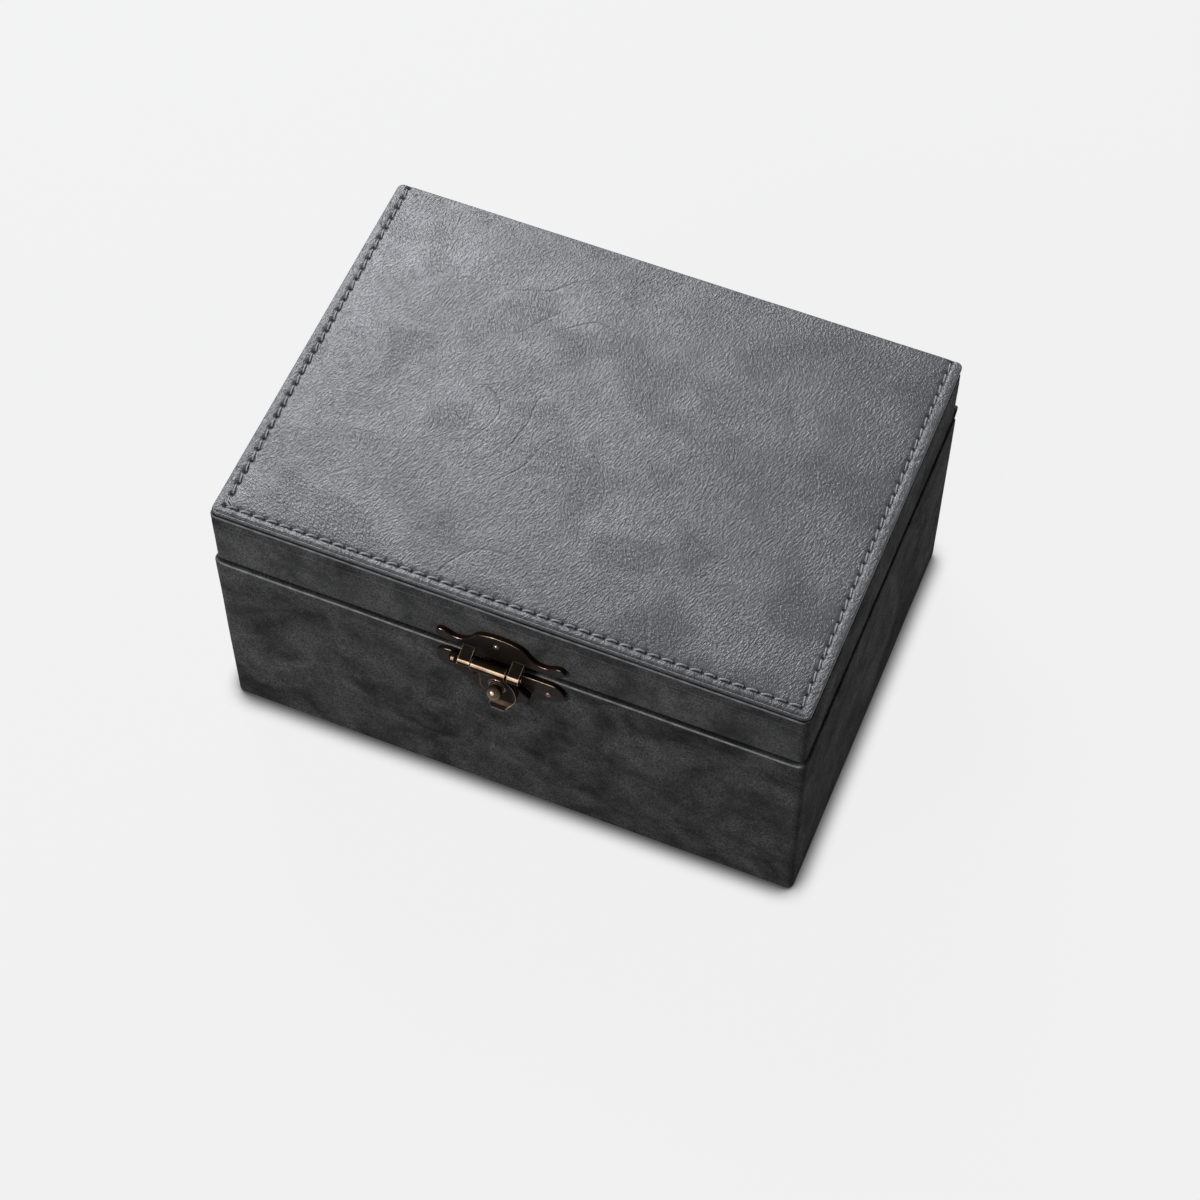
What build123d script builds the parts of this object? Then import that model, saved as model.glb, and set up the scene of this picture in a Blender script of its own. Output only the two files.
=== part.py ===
"""A leather-covered signal-blocking key box with a hinged lid and a turn-knob hasp.

Millimetres. The box stands on its underside: the origin is the middle of the base's
footprint, +Z is up, +X is to the right and the front with the hasp faces -Y.
"""

import os

from build123d import *

os.makedirs("parts", exist_ok=True)

# ---------------------------------------------------------------- driving dimensions
base_width = 151.6
base_depth = 108.2
base_height = 61.4
split_gap = 1.0
rim_height = 17.8
cover_width = 150.0
cover_depth = 108.5
cover_thickness = 1.0
cover_overhang = 1.5  # how far the cover stands out behind the base

# sheet and board thicknesses
leather = 0.8
rim_leather = 0.7
turn_in = 0.6
turn_in_width = 12.0
base_board = 4.0
lid_board = 2.6
lid_top_board_thickness = 2.5
cover_foam_thickness = 0.4
shield = 0.3
lining = 1.6
underside_felt = 0.6
floor_pad_thickness = 3.0
lid_pad_thickness = 2.0
neck_height = 4.0  # how far the lining stands up into the lid

# rounded edges
wall_corner = 1.8
cover_corner = 2.0
cover_top_edge = 0.7
cover_under_edge = 0.25
groove_edge = 0.4
rim_edge = 0.7

# hasp and keeper
latch_x = -0.3
upper_plate_thickness = 1.35
lower_plate_thickness = 1.3
plate_edge = 0.3
barrel_radius = 1.7
barrel_height = 62.8
pin_radius = 0.8
pin_running_gap = 0.06
hinge_clearance = 0.3
nail_shank = 0.55
nail_head = 0.8
nail_length = 3.6

# ---------------------------------------------------------------- levels and faces
base_x = base_width / 2
base_front = -base_depth / 2
base_back = base_depth / 2
cover_x = cover_width / 2
cover_back = base_back + cover_overhang
cover_front = cover_back - cover_depth
cover_middle = (cover_front + cover_back) / 2

rim_bottom = base_height + split_gap
rim_top = rim_bottom + rim_height
rim_x = cover_x + 0.2
rim_front = cover_front - 0.5

wall_x = base_x - leather
wall_front = base_front + leather
wall_back = base_back - leather
wall_bottom = underside_felt + turn_in
wall_top = base_height - leather
room_x = wall_x - base_board
room_y = wall_back - base_board
floor_top = wall_bottom + base_board
neck_top = base_height + neck_height

lid_wall_x = rim_x - rim_leather
lid_wall_front = rim_front + rim_leather
lid_wall_back = base_back - 0.9
lid_wall_bottom = rim_bottom + rim_leather
lid_wall_top = rim_top - rim_leather
lid_room_x = lid_wall_x - lid_board
lid_room_front = lid_wall_front + lid_board
lid_room_back = lid_wall_back - lid_board
lid_ceiling = lid_wall_top - lid_top_board_thickness

hinge_height = base_height + split_gap / 2
spine_bottom = base_height - 2.5
spine_top = rim_bottom + 2.5

upper_plate_back = rim_front
upper_plate_front = rim_front - upper_plate_thickness
lower_plate_back = base_front
lower_plate_front = base_front - lower_plate_thickness
barrel_y = lower_plate_front - hinge_clearance - barrel_radius

# nail places, as (x, z)
upper_nails = [(latch_x - 0.7, 69.1)]
lower_nails = [(latch_x - 12.3, 57.0), (latch_x + 12.5, 57.0)]


def save(builder, name):
    """Label a finished piece and write its STEP file."""
    builder.part.label = name
    export_step(builder.part, f"parts/{name}.step")


def block(x_range, y_range, z_range, mode=Mode.ADD):
    """A box between two X, two Y and two Z values."""
    middle = tuple((low + high) / 2 for low, high in (x_range, y_range, z_range))
    size = [high - low for low, high in (x_range, y_range, z_range)]
    with Locations(middle):
        Box(*size, mode=mode)


def nail_holes(places, plate_front):
    """Cut the nail shanks' holes, running back from the front face of their plate."""
    for x, z in places:
        with Locations(Plane(origin=(x, plate_front, z), z_dir=(0, -1, 0))):
            Hole(nail_shank, depth=nail_length)


# ================================================================ base box
with BuildPart() as base_bottom_board:
    block((-room_x, room_x), (-room_y, room_y), (wall_bottom, floor_top))
save(base_bottom_board, "base_bottom_board")

# The front and back walls run the full width, and the side walls butt between them.
base_walls = {
    "front": ((-wall_x, wall_x), (wall_front, -room_y)),
    "back": ((-wall_x, wall_x), (room_y, wall_back)),
    "left": ((-wall_x, -room_x), (-room_y, room_y)),
    "right": ((room_x, wall_x), (-room_y, room_y)),
}
for side, (x_range, y_range) in base_walls.items():
    with BuildPart() as base_wall:
        block(x_range, y_range, (wall_bottom, wall_top))
        if side == "front":
            nail_holes(lower_nails, lower_plate_front)
    save(base_wall, f"base_{side}_board")

# One piece of leather round three sides, over the rim and under the bottom.
with BuildPart() as base_leather_wrap:
    block((-base_x, base_x), (base_front, wall_back), (underside_felt, base_height))
    front_corners = base_leather_wrap.edges().filter_by(Axis.Z).group_by(Axis.Y)[0]
    fillet(front_corners, wall_corner)
    fillet(base_leather_wrap.faces().sort_by(Axis.Z)[-1].edges(), rim_edge)
    block((-wall_x, wall_x), (wall_front, wall_back), (wall_bottom, wall_top), Mode.SUBTRACT)
    block((-room_x, room_x), (-room_y, room_y), (wall_top, base_height), Mode.SUBTRACT)
    inset_x = base_x - turn_in_width
    inset_y = base_back - turn_in_width
    block((-inset_x, inset_x), (-inset_y, inset_y), (underside_felt, wall_bottom), Mode.SUBTRACT)
    nail_holes(lower_nails, lower_plate_front)
save(base_leather_wrap, "base_leather_wrap")

# The base's share of the back leather, up to where it is free to fold.
with BuildPart() as base_back_leather:
    block((-base_x + 0.2, base_x - 0.2), (wall_back, base_back), (underside_felt, spine_bottom))
    back_corners = base_back_leather.edges().filter_by(Axis.Z).group_by(Axis.Y)[-1]
    fillet(back_corners, leather * 0.75)
save(base_back_leather, "base_back_leather")

felt_inset = 2.6
with BuildPart() as base_underside_felt:
    with BuildSketch():
        RectangleRounded(base_width - 2 * felt_inset, base_depth - 2 * felt_inset, 2.0)
    extrude(amount=underside_felt)
save(base_underside_felt, "base_underside_felt")

# Conducting cloth in one tray, up over the outside of the neck.
with BuildPart() as base_shield_liner:
    block((-room_x, room_x), (-room_y, room_y), (floor_top, neck_top))
    inner_x = room_x - shield
    inner_y = room_y - shield
    block((-inner_x, inner_x), (-inner_y, inner_y), (floor_top + shield, neck_top), Mode.SUBTRACT)
save(base_shield_liner, "base_shield_liner")

lining_x = room_x - shield
lining_y = room_y - shield
lining_bottom = floor_top + shield
cavity_x = lining_x - lining
cavity_y = lining_y - lining
base_linings = {
    "front": ((-lining_x, lining_x), (-lining_y, -cavity_y)),
    "back": ((-lining_x, lining_x), (cavity_y, lining_y)),
    "left": ((-lining_x, -cavity_x), (-cavity_y, cavity_y)),
    "right": ((cavity_x, lining_x), (-cavity_y, cavity_y)),
}
for side, (x_range, y_range) in base_linings.items():
    with BuildPart() as base_lining:
        block(x_range, y_range, (lining_bottom, neck_top))
        fillet(base_lining.faces().sort_by(Axis.Z)[-1].edges(), lining * 0.35)
    save(base_lining, f"base_lining_{side}")

with BuildPart() as base_floor_pad:
    with BuildSketch(Plane.XY.offset(lining_bottom)):
        Rectangle(2 * cavity_x, 2 * cavity_y)
    extrude(amount=floor_pad_thickness)
    fillet(base_floor_pad.faces().sort_by(Axis.Z)[-1].edges(), 0.9)
save(base_floor_pad, "base_floor_pad")

# ================================================================ lid
lid_walls = {
    "front": ((-lid_wall_x, lid_wall_x), (lid_wall_front, lid_room_front)),
    "back": ((-lid_wall_x, lid_wall_x), (lid_room_back, lid_wall_back)),
    "left": ((-lid_wall_x, -lid_room_x), (lid_room_front, lid_room_back)),
    "right": ((lid_room_x, lid_wall_x), (lid_room_front, lid_room_back)),
}
for side, (x_range, y_range) in lid_walls.items():
    with BuildPart() as lid_wall:
        block(x_range, y_range, (lid_wall_bottom, lid_wall_top))
        if side == "front":
            nail_holes(upper_nails, upper_plate_front)
    save(lid_wall, f"lid_{side}_board")

with BuildPart() as lid_top_board:
    block((-lid_room_x, lid_room_x), (lid_room_front, lid_room_back), (lid_ceiling, lid_wall_top))
save(lid_top_board, "lid_top_board")

with BuildPart() as lid_rim_leather:
    block((-rim_x, rim_x), (rim_front, lid_wall_back), (rim_bottom, rim_top))
    front_corners = lid_rim_leather.edges().filter_by(Axis.Z).group_by(Axis.Y)[0]
    fillet(front_corners, wall_corner)
    fillet(lid_rim_leather.faces().sort_by(Axis.Z)[-1].edges(), groove_edge)
    fillet(lid_rim_leather.faces().sort_by(Axis.Z)[0].edges(), rim_edge * 0.7)
    block(
        (-lid_wall_x, lid_wall_x),
        (lid_wall_front, lid_wall_back),
        (lid_wall_bottom, lid_wall_top),
        Mode.SUBTRACT,
    )
    block(
        (-lid_room_x, lid_room_x),
        (lid_room_front, lid_room_back),
        (rim_bottom, lid_wall_bottom),
        Mode.SUBTRACT,
    )
    block(
        (-rim_x + turn_in_width, rim_x - turn_in_width),
        (rim_front + turn_in_width, lid_wall_back - turn_in_width),
        (lid_wall_top, rim_top),
        Mode.SUBTRACT,
    )
    nail_holes(upper_nails, upper_plate_front)
save(lid_rim_leather, "lid_rim_leather")

# The back leather leans out from the rim to the overhanging cover.
with BuildPart() as lid_back_leather:
    with BuildSketch(Plane.YZ.offset(-cover_x + 0.4)):
        with BuildLine():
            Polyline(
                (lid_wall_back, spine_top),
                (lid_wall_back + leather, spine_top),
                (cover_back - 0.3, rim_top),
                (lid_wall_back, rim_top),
                close=True,
            )
        make_face()
    extrude(amount=cover_width - 0.8)
save(lid_back_leather, "lid_back_leather")

with BuildPart() as lid_shield_liner:
    liner_bottom = lid_wall_bottom - 0.2
    block((-lid_room_x, lid_room_x), (lid_room_front, lid_room_back), (liner_bottom, lid_ceiling))
    block(
        (-lid_room_x + shield, lid_room_x - shield),
        (lid_room_front + shield, lid_room_back - shield),
        (liner_bottom, lid_ceiling - shield),
        Mode.SUBTRACT,
    )
save(lid_shield_liner, "lid_shield_liner")

lid_pad_inset = 1.6
lid_room_middle = (lid_room_front + lid_room_back) / 2
with BuildPart() as lid_lining_panel:
    with BuildSketch(Plane.XY.offset(lid_ceiling - shield - lid_pad_thickness)):
        with Locations((0, lid_room_middle)):
            RectangleRounded(
                2 * (lid_room_x - lid_pad_inset),
                lid_room_back - lid_room_front - 2 * lid_pad_inset,
                1.5,
            )
    extrude(amount=lid_pad_thickness)
    fillet(lid_lining_panel.faces().sort_by(Axis.Z)[0].edges(), 0.8)
save(lid_lining_panel, "lid_lining_panel")

# The cover is a thin stitched panel: leather over foam, its edges turned down to the rim.
filling_size = (cover_width - 2 * rim_leather, cover_depth - 2 * rim_leather)
filling_corner = cover_corner - rim_leather
with BuildPart() as lid_cover_foam:
    with BuildSketch(Plane.XY.offset(rim_top)):
        with Locations((0, cover_middle)):
            RectangleRounded(*filling_size, filling_corner)
    extrude(amount=cover_foam_thickness)
save(lid_cover_foam, "lid_cover_foam")

with BuildPart() as lid_cover_leather:
    with BuildSketch(Plane.XY.offset(rim_top)):
        with Locations((0, cover_middle)):
            RectangleRounded(cover_width, cover_depth, cover_corner)
    extrude(amount=cover_thickness)
    fillet(lid_cover_leather.faces().sort_by(Axis.Z)[-1].edges(), cover_top_edge)
    fillet(lid_cover_leather.faces().sort_by(Axis.Z)[0].edges(), cover_under_edge)
    add(lid_cover_foam.part, mode=Mode.SUBTRACT)
save(lid_cover_leather, "lid_cover_leather")

# ================================================================ spine
# The free strip of back leather bulges outward while the lid is shut.
spine_bulge = 2.6
with BuildPart() as spine_fold:
    with BuildSketch(Plane.YZ.offset(-cover_x + 0.4)):
        with BuildLine():
            outer = Spline(
                (base_back, spine_bottom),
                (base_back + 0.35 * spine_bulge, hinge_height - 1.7),
                (base_back + spine_bulge, hinge_height),
                (base_back + 0.4 * spine_bulge, hinge_height + 1.6),
                (base_back + 0.2, spine_top - hinge_clearance),
                tangents=((0, 1), (0, 1)),
            )
            inner = Spline(
                (wall_back + leather * 0.75 + 0.2, spine_top - hinge_clearance),
                (base_back + 0.4 * spine_bulge - leather * 0.6, hinge_height + 1.1),
                (base_back + spine_bulge - leather, hinge_height),
                (base_back + 0.35 * spine_bulge - leather * 0.6, hinge_height - 1.25),
                (wall_back, spine_bottom),
                tangents=((0, -1), (0, -1)),
            )
            Line(outer @ 1, inner @ 0)
            Line(inner @ 1, outer @ 0)
        make_face()
    extrude(amount=cover_width - 0.8)
save(spine_fold, "spine_fold")

# ================================================================ hasp on the lid
# The barrel's stretches along X: two straps of the plate and the hasp's own knuckle.
left_strap = (-9.6, -6.55)
hasp_knuckle = (-6.2, 2.5)
right_strap = (3.1, 6.0)
left_knuckle_radius = 1.4
pin_head_radius = 1.75
pin_head_length = 2.4


def knuckle(x_range, mode=Mode.ADD, radius=barrel_radius):
    """A stretch of the hinge barrel between two X values."""
    low, high = x_range
    with Locations(Plane(origin=(low, barrel_y, barrel_height), z_dir=(1, 0, 0))):
        Cylinder(radius, high - low, align=(Align.CENTER, Align.CENTER, Align.MIN), mode=mode)


# Right half of the plate's moustache outline, from the dome's crown to the lower edge.
# An apron below it hangs behind the barrel, from strap to strap.
dome_top = 72.4
plate_bottom = 64.4
apron_bottom = 61.9
strap_top = 65.3
with BuildPart() as latch_upper_plate:
    with BuildSketch(Plane(origin=(latch_x, upper_plate_back, 0), x_dir=(1, 0, 0), z_dir=(0, -1, 0))):
        with BuildLine():
            crown = ThreePointArc((0, dome_top), (2.7, dome_top - 0.2), (5.2, dome_top - 1.0))
            flank = Spline(
                crown @ 1,
                (7.6, 68.6),
                (11.5, 66.9),
                (14.6, 68.2),
                tangents=(crown % 1, (0.85, 0.25)),
            )
            ear = ThreePointArc(flank @ 1, (16.2, 67.6), (15.7, 65.3))
            corner = ThreePointArc(ear @ 1, (15.0, 64.7), (14.0, plate_bottom))
            Line(corner @ 1, (0, plate_bottom))
            mirror(about=Plane.YZ)
        make_face()
    extrude(amount=upper_plate_thickness)
    front_edge = latch_upper_plate.faces().sort_by(Axis.Y)[0].edges()
    fillet(front_edge, plate_edge)
    block(
        (left_strap[0], right_strap[1]),
        (upper_plate_front, upper_plate_back),
        (apron_bottom, plate_bottom + 0.6),
    )
    for x_range, radius in ((left_strap, left_knuckle_radius), (right_strap, barrel_radius)):
        with BuildSketch(Plane.YZ.offset(x_range[0])):
            with BuildLine():
                Polyline(
                    (upper_plate_back - 0.6, strap_top),
                    (upper_plate_front - 0.3, strap_top),
                    (barrel_y - 0.2 * radius, barrel_height + 0.97 * radius),
                    (barrel_y, barrel_height),
                    (barrel_y + 0.8 * radius, barrel_height + 0.35 * radius),
                    (upper_plate_front, plate_bottom - 0.6),
                    (upper_plate_back - 0.6, plate_bottom - 0.6),
                    close=True,
                )
            make_face()
        extrude(amount=x_range[1] - x_range[0])
        knuckle(x_range, radius=radius)
    knuckle((left_strap[0], right_strap[1]), Mode.SUBTRACT, pin_radius)
    nail_holes(upper_nails, upper_plate_front)
save(latch_upper_plate, "latch_upper_plate")

with BuildPart() as latch_hinge_pin:
    head_start = left_strap[0]
    head_end = head_start - pin_head_length
    pin_tail = right_strap[1] + 0.35
    with BuildSketch(Plane(origin=(0, barrel_y, barrel_height), x_dir=(1, 0, 0), z_dir=(0, -1, 0))):
        with BuildLine():
            side = Polyline(
                (head_end, 0),
                (pin_tail, 0),
                (pin_tail, pin_radius),
                (head_start, pin_radius),
                (head_start, pin_head_radius * 0.8),
                (head_start - 0.9, pin_head_radius),
                (head_end + 0.8, pin_head_radius),
            )
            dome = ThreePointArc(side @ 1, (head_end + 0.2, 1.4), (head_end, 0.9))
            Line(dome @ 1, side @ 0)
        make_face()
    revolve(axis=Axis((0, barrel_y, barrel_height), (1, 0, 0)))
save(latch_hinge_pin, "latch_hinge_pin")

# ---------------------------------------------------------------- hanging hasp and its turn knob
leaf_thickness = 0.8
leaf_back = lower_plate_front - 2.3
leaf_front = leaf_back - leaf_thickness
knob_x = 0.7
knob_height = 58.9
bush_sleeve = 1.4
bush_flange = 2.5
bush_flange_thickness = 0.4
stem_radius = 0.9
stem_running_gap = 0.05
collar_radius = 2.1
ball_radius = 1.9
knob_plane = Plane(origin=(knob_x, 0, knob_height), x_dir=(1, 0, 0), z_dir=(0, -1, 0))

leaf_bottom = 50.0
leaf_blank_half = 8
curl_radius = 2.6
curl_start = 54.1
curl_turn = 80
with BuildPart() as latch_hasp:
    # side view of the leaf: straight down from the barrel, then curled out for a finger
    with BuildSketch(Plane.YZ.offset(-leaf_blank_half)):
        with BuildLine():
            straight = Line((leaf_back, barrel_height - 0.4), (leaf_back, curl_start))
            back_curl = JernArc(straight @ 1, (0, -1), curl_radius + leaf_thickness, -curl_turn)
            front = Line((leaf_front, barrel_height - 0.4), (leaf_front, curl_start))
            front_curl = JernArc(front @ 1, (0, -1), curl_radius, -curl_turn)
            Line(back_curl @ 1, front_curl @ 1)
            Line(front @ 0, straight @ 0)
        make_face()
    extrude(amount=2 * leaf_blank_half)
    # front view of the leaf
    with BuildSketch(Plane(origin=(0, 0, 0), x_dir=(1, 0, 0), z_dir=(0, -1, 0))):
        with BuildLine():
            left = Spline(
                (-4.6, 63.2),
                (-4.0, 60.2),
                (-3.7, 55.8),
                (-1.2, 52.0),
                tangents=((0, -1), (0, -1)),
            )
            right = Spline(
                (2.2, 50.4),
                (3.1, 51.5),
                (4.6, 52.8),
                (5.1, 54.4),
                (4.9, 56.8),
                (4.0, 59.3),
                (2.4, 61.4),
                (2.3, 63.2),
                tangents=((0.6, 0.8), (0, 1)),
            )
            Polyline(left @ 1, (-1.2, leaf_bottom), (2.2, leaf_bottom), right @ 0)
            Line(right @ 1, left @ 0)
        make_face()
    extrude(amount=70, mode=Mode.INTERSECT)
    tip_face = latch_hasp.faces().filter_by(GeomType.PLANE).sort_by(Axis.Y)[0]
    fillet(tip_face.edges().sort_by(Axis.X)[0], 1.0)
    knuckle(hasp_knuckle)
    knuckle(hasp_knuckle, Mode.SUBTRACT, pin_radius + pin_running_gap)
    with Locations(Plane(origin=(knob_x, leaf_front, knob_height), z_dir=(0, -1, 0))):
        Hole(bush_sleeve, depth=leaf_thickness + 0.5)
save(latch_hasp, "latch_hasp")

with BuildPart() as latch_bush:
    with BuildSketch(knob_plane.offset(-leaf_back)):
        Circle(bush_sleeve)
    extrude(amount=leaf_thickness)
    with BuildSketch(knob_plane.offset(-leaf_front)):
        Circle(bush_flange)
    extrude(amount=bush_flange_thickness)
    fillet(latch_bush.faces().sort_by(Axis.Y)[0].edges(), 0.2)
    with BuildSketch(knob_plane.offset(-leaf_back)):
        Circle(stem_radius + stem_running_gap)
    extrude(amount=leaf_thickness + bush_flange_thickness, mode=Mode.SUBTRACT)
save(latch_bush, "latch_bush")

cam_thickness = 0.7
cam_back = lower_plate_front - hinge_clearance
cam_front = cam_back - cam_thickness
cam_half_length = 2.25
cam_half_width = 0.95
cam_bore = 0.55
bush_face = leaf_front - bush_flange_thickness
collar_back = bush_face - 0.1
neck_radius = 1.45
ball_centre = collar_back - 1.6
ball_start = ball_centre + (ball_radius**2 - neck_radius**2) ** 0.5
with BuildPart() as latch_knob:
    # half outline from the tail to the ball, as (radius, distance forward)
    with BuildSketch(Plane(origin=(knob_x, 0, knob_height), x_dir=(1, 0, 0), z_dir=(0, 0, 1))):
        with BuildLine():
            shank = Polyline(
                (0, cam_back),
                (cam_bore, cam_back),
                (cam_bore, cam_front),
                (stem_radius, cam_front),
                (stem_radius, collar_back),
                (collar_radius, collar_back),
                (collar_radius, collar_back - 0.2),
                (neck_radius, collar_back - 0.3),
                (neck_radius, ball_start),
            )
            ball = ThreePointArc(
                shank @ 1,
                (ball_radius, ball_centre),
                (0, ball_centre - ball_radius),
            )
            Line(ball @ 1, shank @ 0)
        make_face()
    revolve(axis=Axis((knob_x, 0, knob_height), (0, 1, 0)))
save(latch_knob, "latch_knob")

with BuildPart() as latch_cam:
    with BuildSketch(knob_plane.offset(-cam_back)):
        SlotOverall(2 * cam_half_length, 2 * cam_half_width, rotation=90)
        Circle(cam_bore, mode=Mode.SUBTRACT)
    extrude(amount=cam_thickness)
save(latch_cam, "latch_cam")

# ================================================================ keeper on the base
plate_top = 61.2
wing_radius = 3.6
wing_x = 12.9
wing_height = plate_top - wing_radius
lip_thickness = 0.8
lip_back = cam_front - 0.2
lip_front = lip_back - lip_thickness
slot_half = cam_half_width + 0.5
pocket_reach = cam_half_length + 0.35
pocket_stop = cam_half_width + 0.15
keeper_plane = Plane(origin=(knob_x, 0, 0), x_dir=(1, 0, 0), z_dir=(0, -1, 0))
with BuildPart() as latch_lower_plate:
    with BuildSketch(Plane(origin=(latch_x, lower_plate_back, 0), x_dir=(1, 0, 0), z_dir=(0, -1, 0))):
        with BuildLine():
            top = Line((0, plate_top), (wing_x, plate_top))
            wing = ThreePointArc(
                top @ 1,
                (wing_x + wing_radius, wing_height),
                (wing_x + 0.6, wing_height - wing_radius + 0.1),
            )
            slope = Spline(
                wing @ 1,
                (9.6, 52.7),
                (6.8, 51.0),
                tangents=(wing % 1, (-0.8, -0.7)),
            )
            ThreePointArc(slope @ 1, (4.0, 48.9), (0, 48.2))
            mirror(about=Plane.YZ)
        make_face()
    extrude(amount=lower_plate_thickness)
    fillet(latch_lower_plate.faces().sort_by(Axis.Y)[0].edges(), plate_edge)
    # two raised ears with a slot between them, which the cam turns behind
    with BuildSketch(keeper_plane.offset(-lower_plate_front)):
        with BuildLine():
            roof = Polyline((-7.0, 57.4), (-3.6, 60.8), (0, 60.8), (1.4, 60.4), (7.0, 55.4))
            right_cheek = ThreePointArc(roof @ 1, (7.3, 54.3), (6.4, 52.9))
            chin = ThreePointArc(right_cheek @ 1, (0, 49.9), (-6.4, 52.9))
            ThreePointArc(chin @ 1, (-7.4, 55.0), roof @ 0)
        make_face()
    extrude(amount=lower_plate_front - lip_front)
    fillet(latch_lower_plate.faces().sort_by(Axis.Y)[0].edges(), plate_edge)
    # pockets behind the lips, for the quarters that the cam sweeps: lower left, upper right
    block(
        (knob_x - pocket_reach, knob_x),
        (lip_back, lower_plate_front),
        (knob_height - pocket_reach, knob_height + pocket_stop),
        Mode.SUBTRACT,
    )
    block(
        (knob_x, knob_x + pocket_reach),
        (lip_back, lower_plate_front),
        (knob_height - pocket_stop, knob_height + pocket_reach),
        Mode.SUBTRACT,
    )
    block(
        (knob_x - slot_half, knob_x + slot_half),
        (lip_front, lower_plate_front),
        (knob_height - 10, knob_height + 10),
        Mode.SUBTRACT,
    )
    nail_holes(lower_nails, lower_plate_front)
save(latch_lower_plate, "latch_lower_plate")

# ---------------------------------------------------------------- nails
nail_sets = {
    "latch_upper_nail": (upper_nails, upper_plate_front),
    "latch_lower_nails": (lower_nails, lower_plate_front),
}
for name, (places, face) in nail_sets.items():
    with BuildPart() as nails:
        for x, z in places:
            nail_plane = Plane(origin=(x, face, z), x_dir=(1, 0, 0), z_dir=(0, -1, 0))
            with BuildSketch(nail_plane.offset(-nail_length + 0.4)):
                Circle(nail_shank)
            extrude(amount=nail_length - 0.4)
            with BuildSketch(nail_plane):
                Circle(nail_head)
            extrude(amount=0.45)
            head_edge = nails.edges().filter_by(GeomType.CIRCLE)
            head_edge = head_edge.group_by(Axis.Y)[0].sort_by_distance((x, face, z))[0]
            fillet(head_edge, 0.4)
    save(nails, name)
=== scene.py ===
# %% [markdown]
# # A leather-covered key box
# The box is made the way a box maker works: a imported model gives every board, plate and hinge line,
# and this lesson dresses it. Leather skins, velvet linings and shielding cloth replace the plain
# soft solids of the model, the latch keeps its own solids and gets a worn bronze finish with a
# painted highlight, and the lid's new pieces hang from one empty and the base's from another.

# %% Load the model
import math

import bmesh
import bpy
import numpy as np
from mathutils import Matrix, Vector


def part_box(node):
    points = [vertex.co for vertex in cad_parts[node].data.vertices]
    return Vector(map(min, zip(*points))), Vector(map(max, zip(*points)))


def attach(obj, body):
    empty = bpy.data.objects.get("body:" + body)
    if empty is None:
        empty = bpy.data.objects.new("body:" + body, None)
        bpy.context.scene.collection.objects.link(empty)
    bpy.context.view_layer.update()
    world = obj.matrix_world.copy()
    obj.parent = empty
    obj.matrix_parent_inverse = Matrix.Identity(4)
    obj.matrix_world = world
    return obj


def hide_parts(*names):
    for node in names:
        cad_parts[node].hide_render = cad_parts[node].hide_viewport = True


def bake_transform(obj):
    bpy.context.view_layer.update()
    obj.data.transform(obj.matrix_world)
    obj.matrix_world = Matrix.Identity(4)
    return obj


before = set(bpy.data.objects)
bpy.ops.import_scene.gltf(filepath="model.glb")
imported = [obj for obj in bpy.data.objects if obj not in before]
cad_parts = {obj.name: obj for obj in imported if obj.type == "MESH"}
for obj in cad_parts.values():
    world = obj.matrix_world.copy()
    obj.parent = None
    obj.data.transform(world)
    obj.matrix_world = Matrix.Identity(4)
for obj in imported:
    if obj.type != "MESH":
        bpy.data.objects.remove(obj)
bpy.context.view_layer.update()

MM = 0.001

# %% [markdown]
# ## The camera
# The box is seen from above and in front, a little from its right. A long lens keeps its edges
# almost parallel, as in a catalogue picture. The camera is placed by its position and by the
# direction it looks in, so it needs no target object.

# %% Camera


def add_object(name, data):
    """A new object for some data, put into the scene."""
    made = bpy.data.objects.new(name, data)
    bpy.context.scene.collection.objects.link(made)
    return made


camera_place = Vector((160.19, -383.10, 663.89)) * MM
camera_direction = Vector((-0.20414, 0.49595, -0.84401))

camera = add_object("camera", bpy.data.cameras.new("camera"))
camera.data.lens = 89.97
camera.data.sensor_width = 36
camera.location = camera_place
camera.rotation_euler = camera_direction.to_track_quat("-Z", "Y").to_euler()
bpy.context.scene.camera = camera
print("camera distance:", round(camera_place.length, 3), "m")

# %% [markdown]
# ## The studio
# One large soft lamp hangs behind the box, above and to its left. The polished top throws it back
# towards the viewer, strongest at the back left, so the top is much brighter than the front. A lamp
# at the front left and a faint world light open up the walls, a long narrow lamp overhead draws a
# line of light along round metal, and a small one at the back right keeps the right side from
# going black.
#
# The floor looks like even, pale paper: a Light Path node shows the camera, and whatever is glossy,
# a plain grey, and everything else a floor that is lit. An Ambient Occlusion node darkens the grey
# close to the box, which is the soft shadow that a box keeps round its foot in such broad light.

# %% Helpers for nodes and lamps
paper_grey = 0.9
fill_strength = 0.07


def link(tree, out_socket, in_socket):
    tree.links.new(out_socket, in_socket)


def node(tree, kind, **settings):
    """Add a shader or geometry node and set its properties."""
    made = tree.nodes.new(kind)
    for key, value in settings.items():
        setattr(made, key, value)
    return made


def feed(tree, value, socket):
    """Give a socket a value: another node's output, a number, a vector or a colour."""
    if isinstance(value, bpy.types.NodeSocket):
        link(tree, value, socket)
    else:
        socket.default_value = (*value, 1) if socket.type == "RGBA" else value


def combine(tree, operation, first, second):
    """A Math node on two outputs or numbers."""
    made = node(tree, "ShaderNodeMath", operation=operation)
    feed(tree, first, made.inputs[0])
    feed(tree, second, made.inputs[1])
    return made.outputs[0]


def remap(tree, value, low, high, to_low=0.0, to_high=1.0, **settings):
    """Map a value from one range to another, held inside it."""
    made = node(tree, "ShaderNodeMapRange", **settings)
    for label, number in (
        ("Value", value),
        ("From Min", low),
        ("From Max", high),
        ("To Min", to_low),
        ("To Max", to_high),
    ):
        feed(tree, number, made.inputs[label])
    return made.outputs["Result"]


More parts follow.
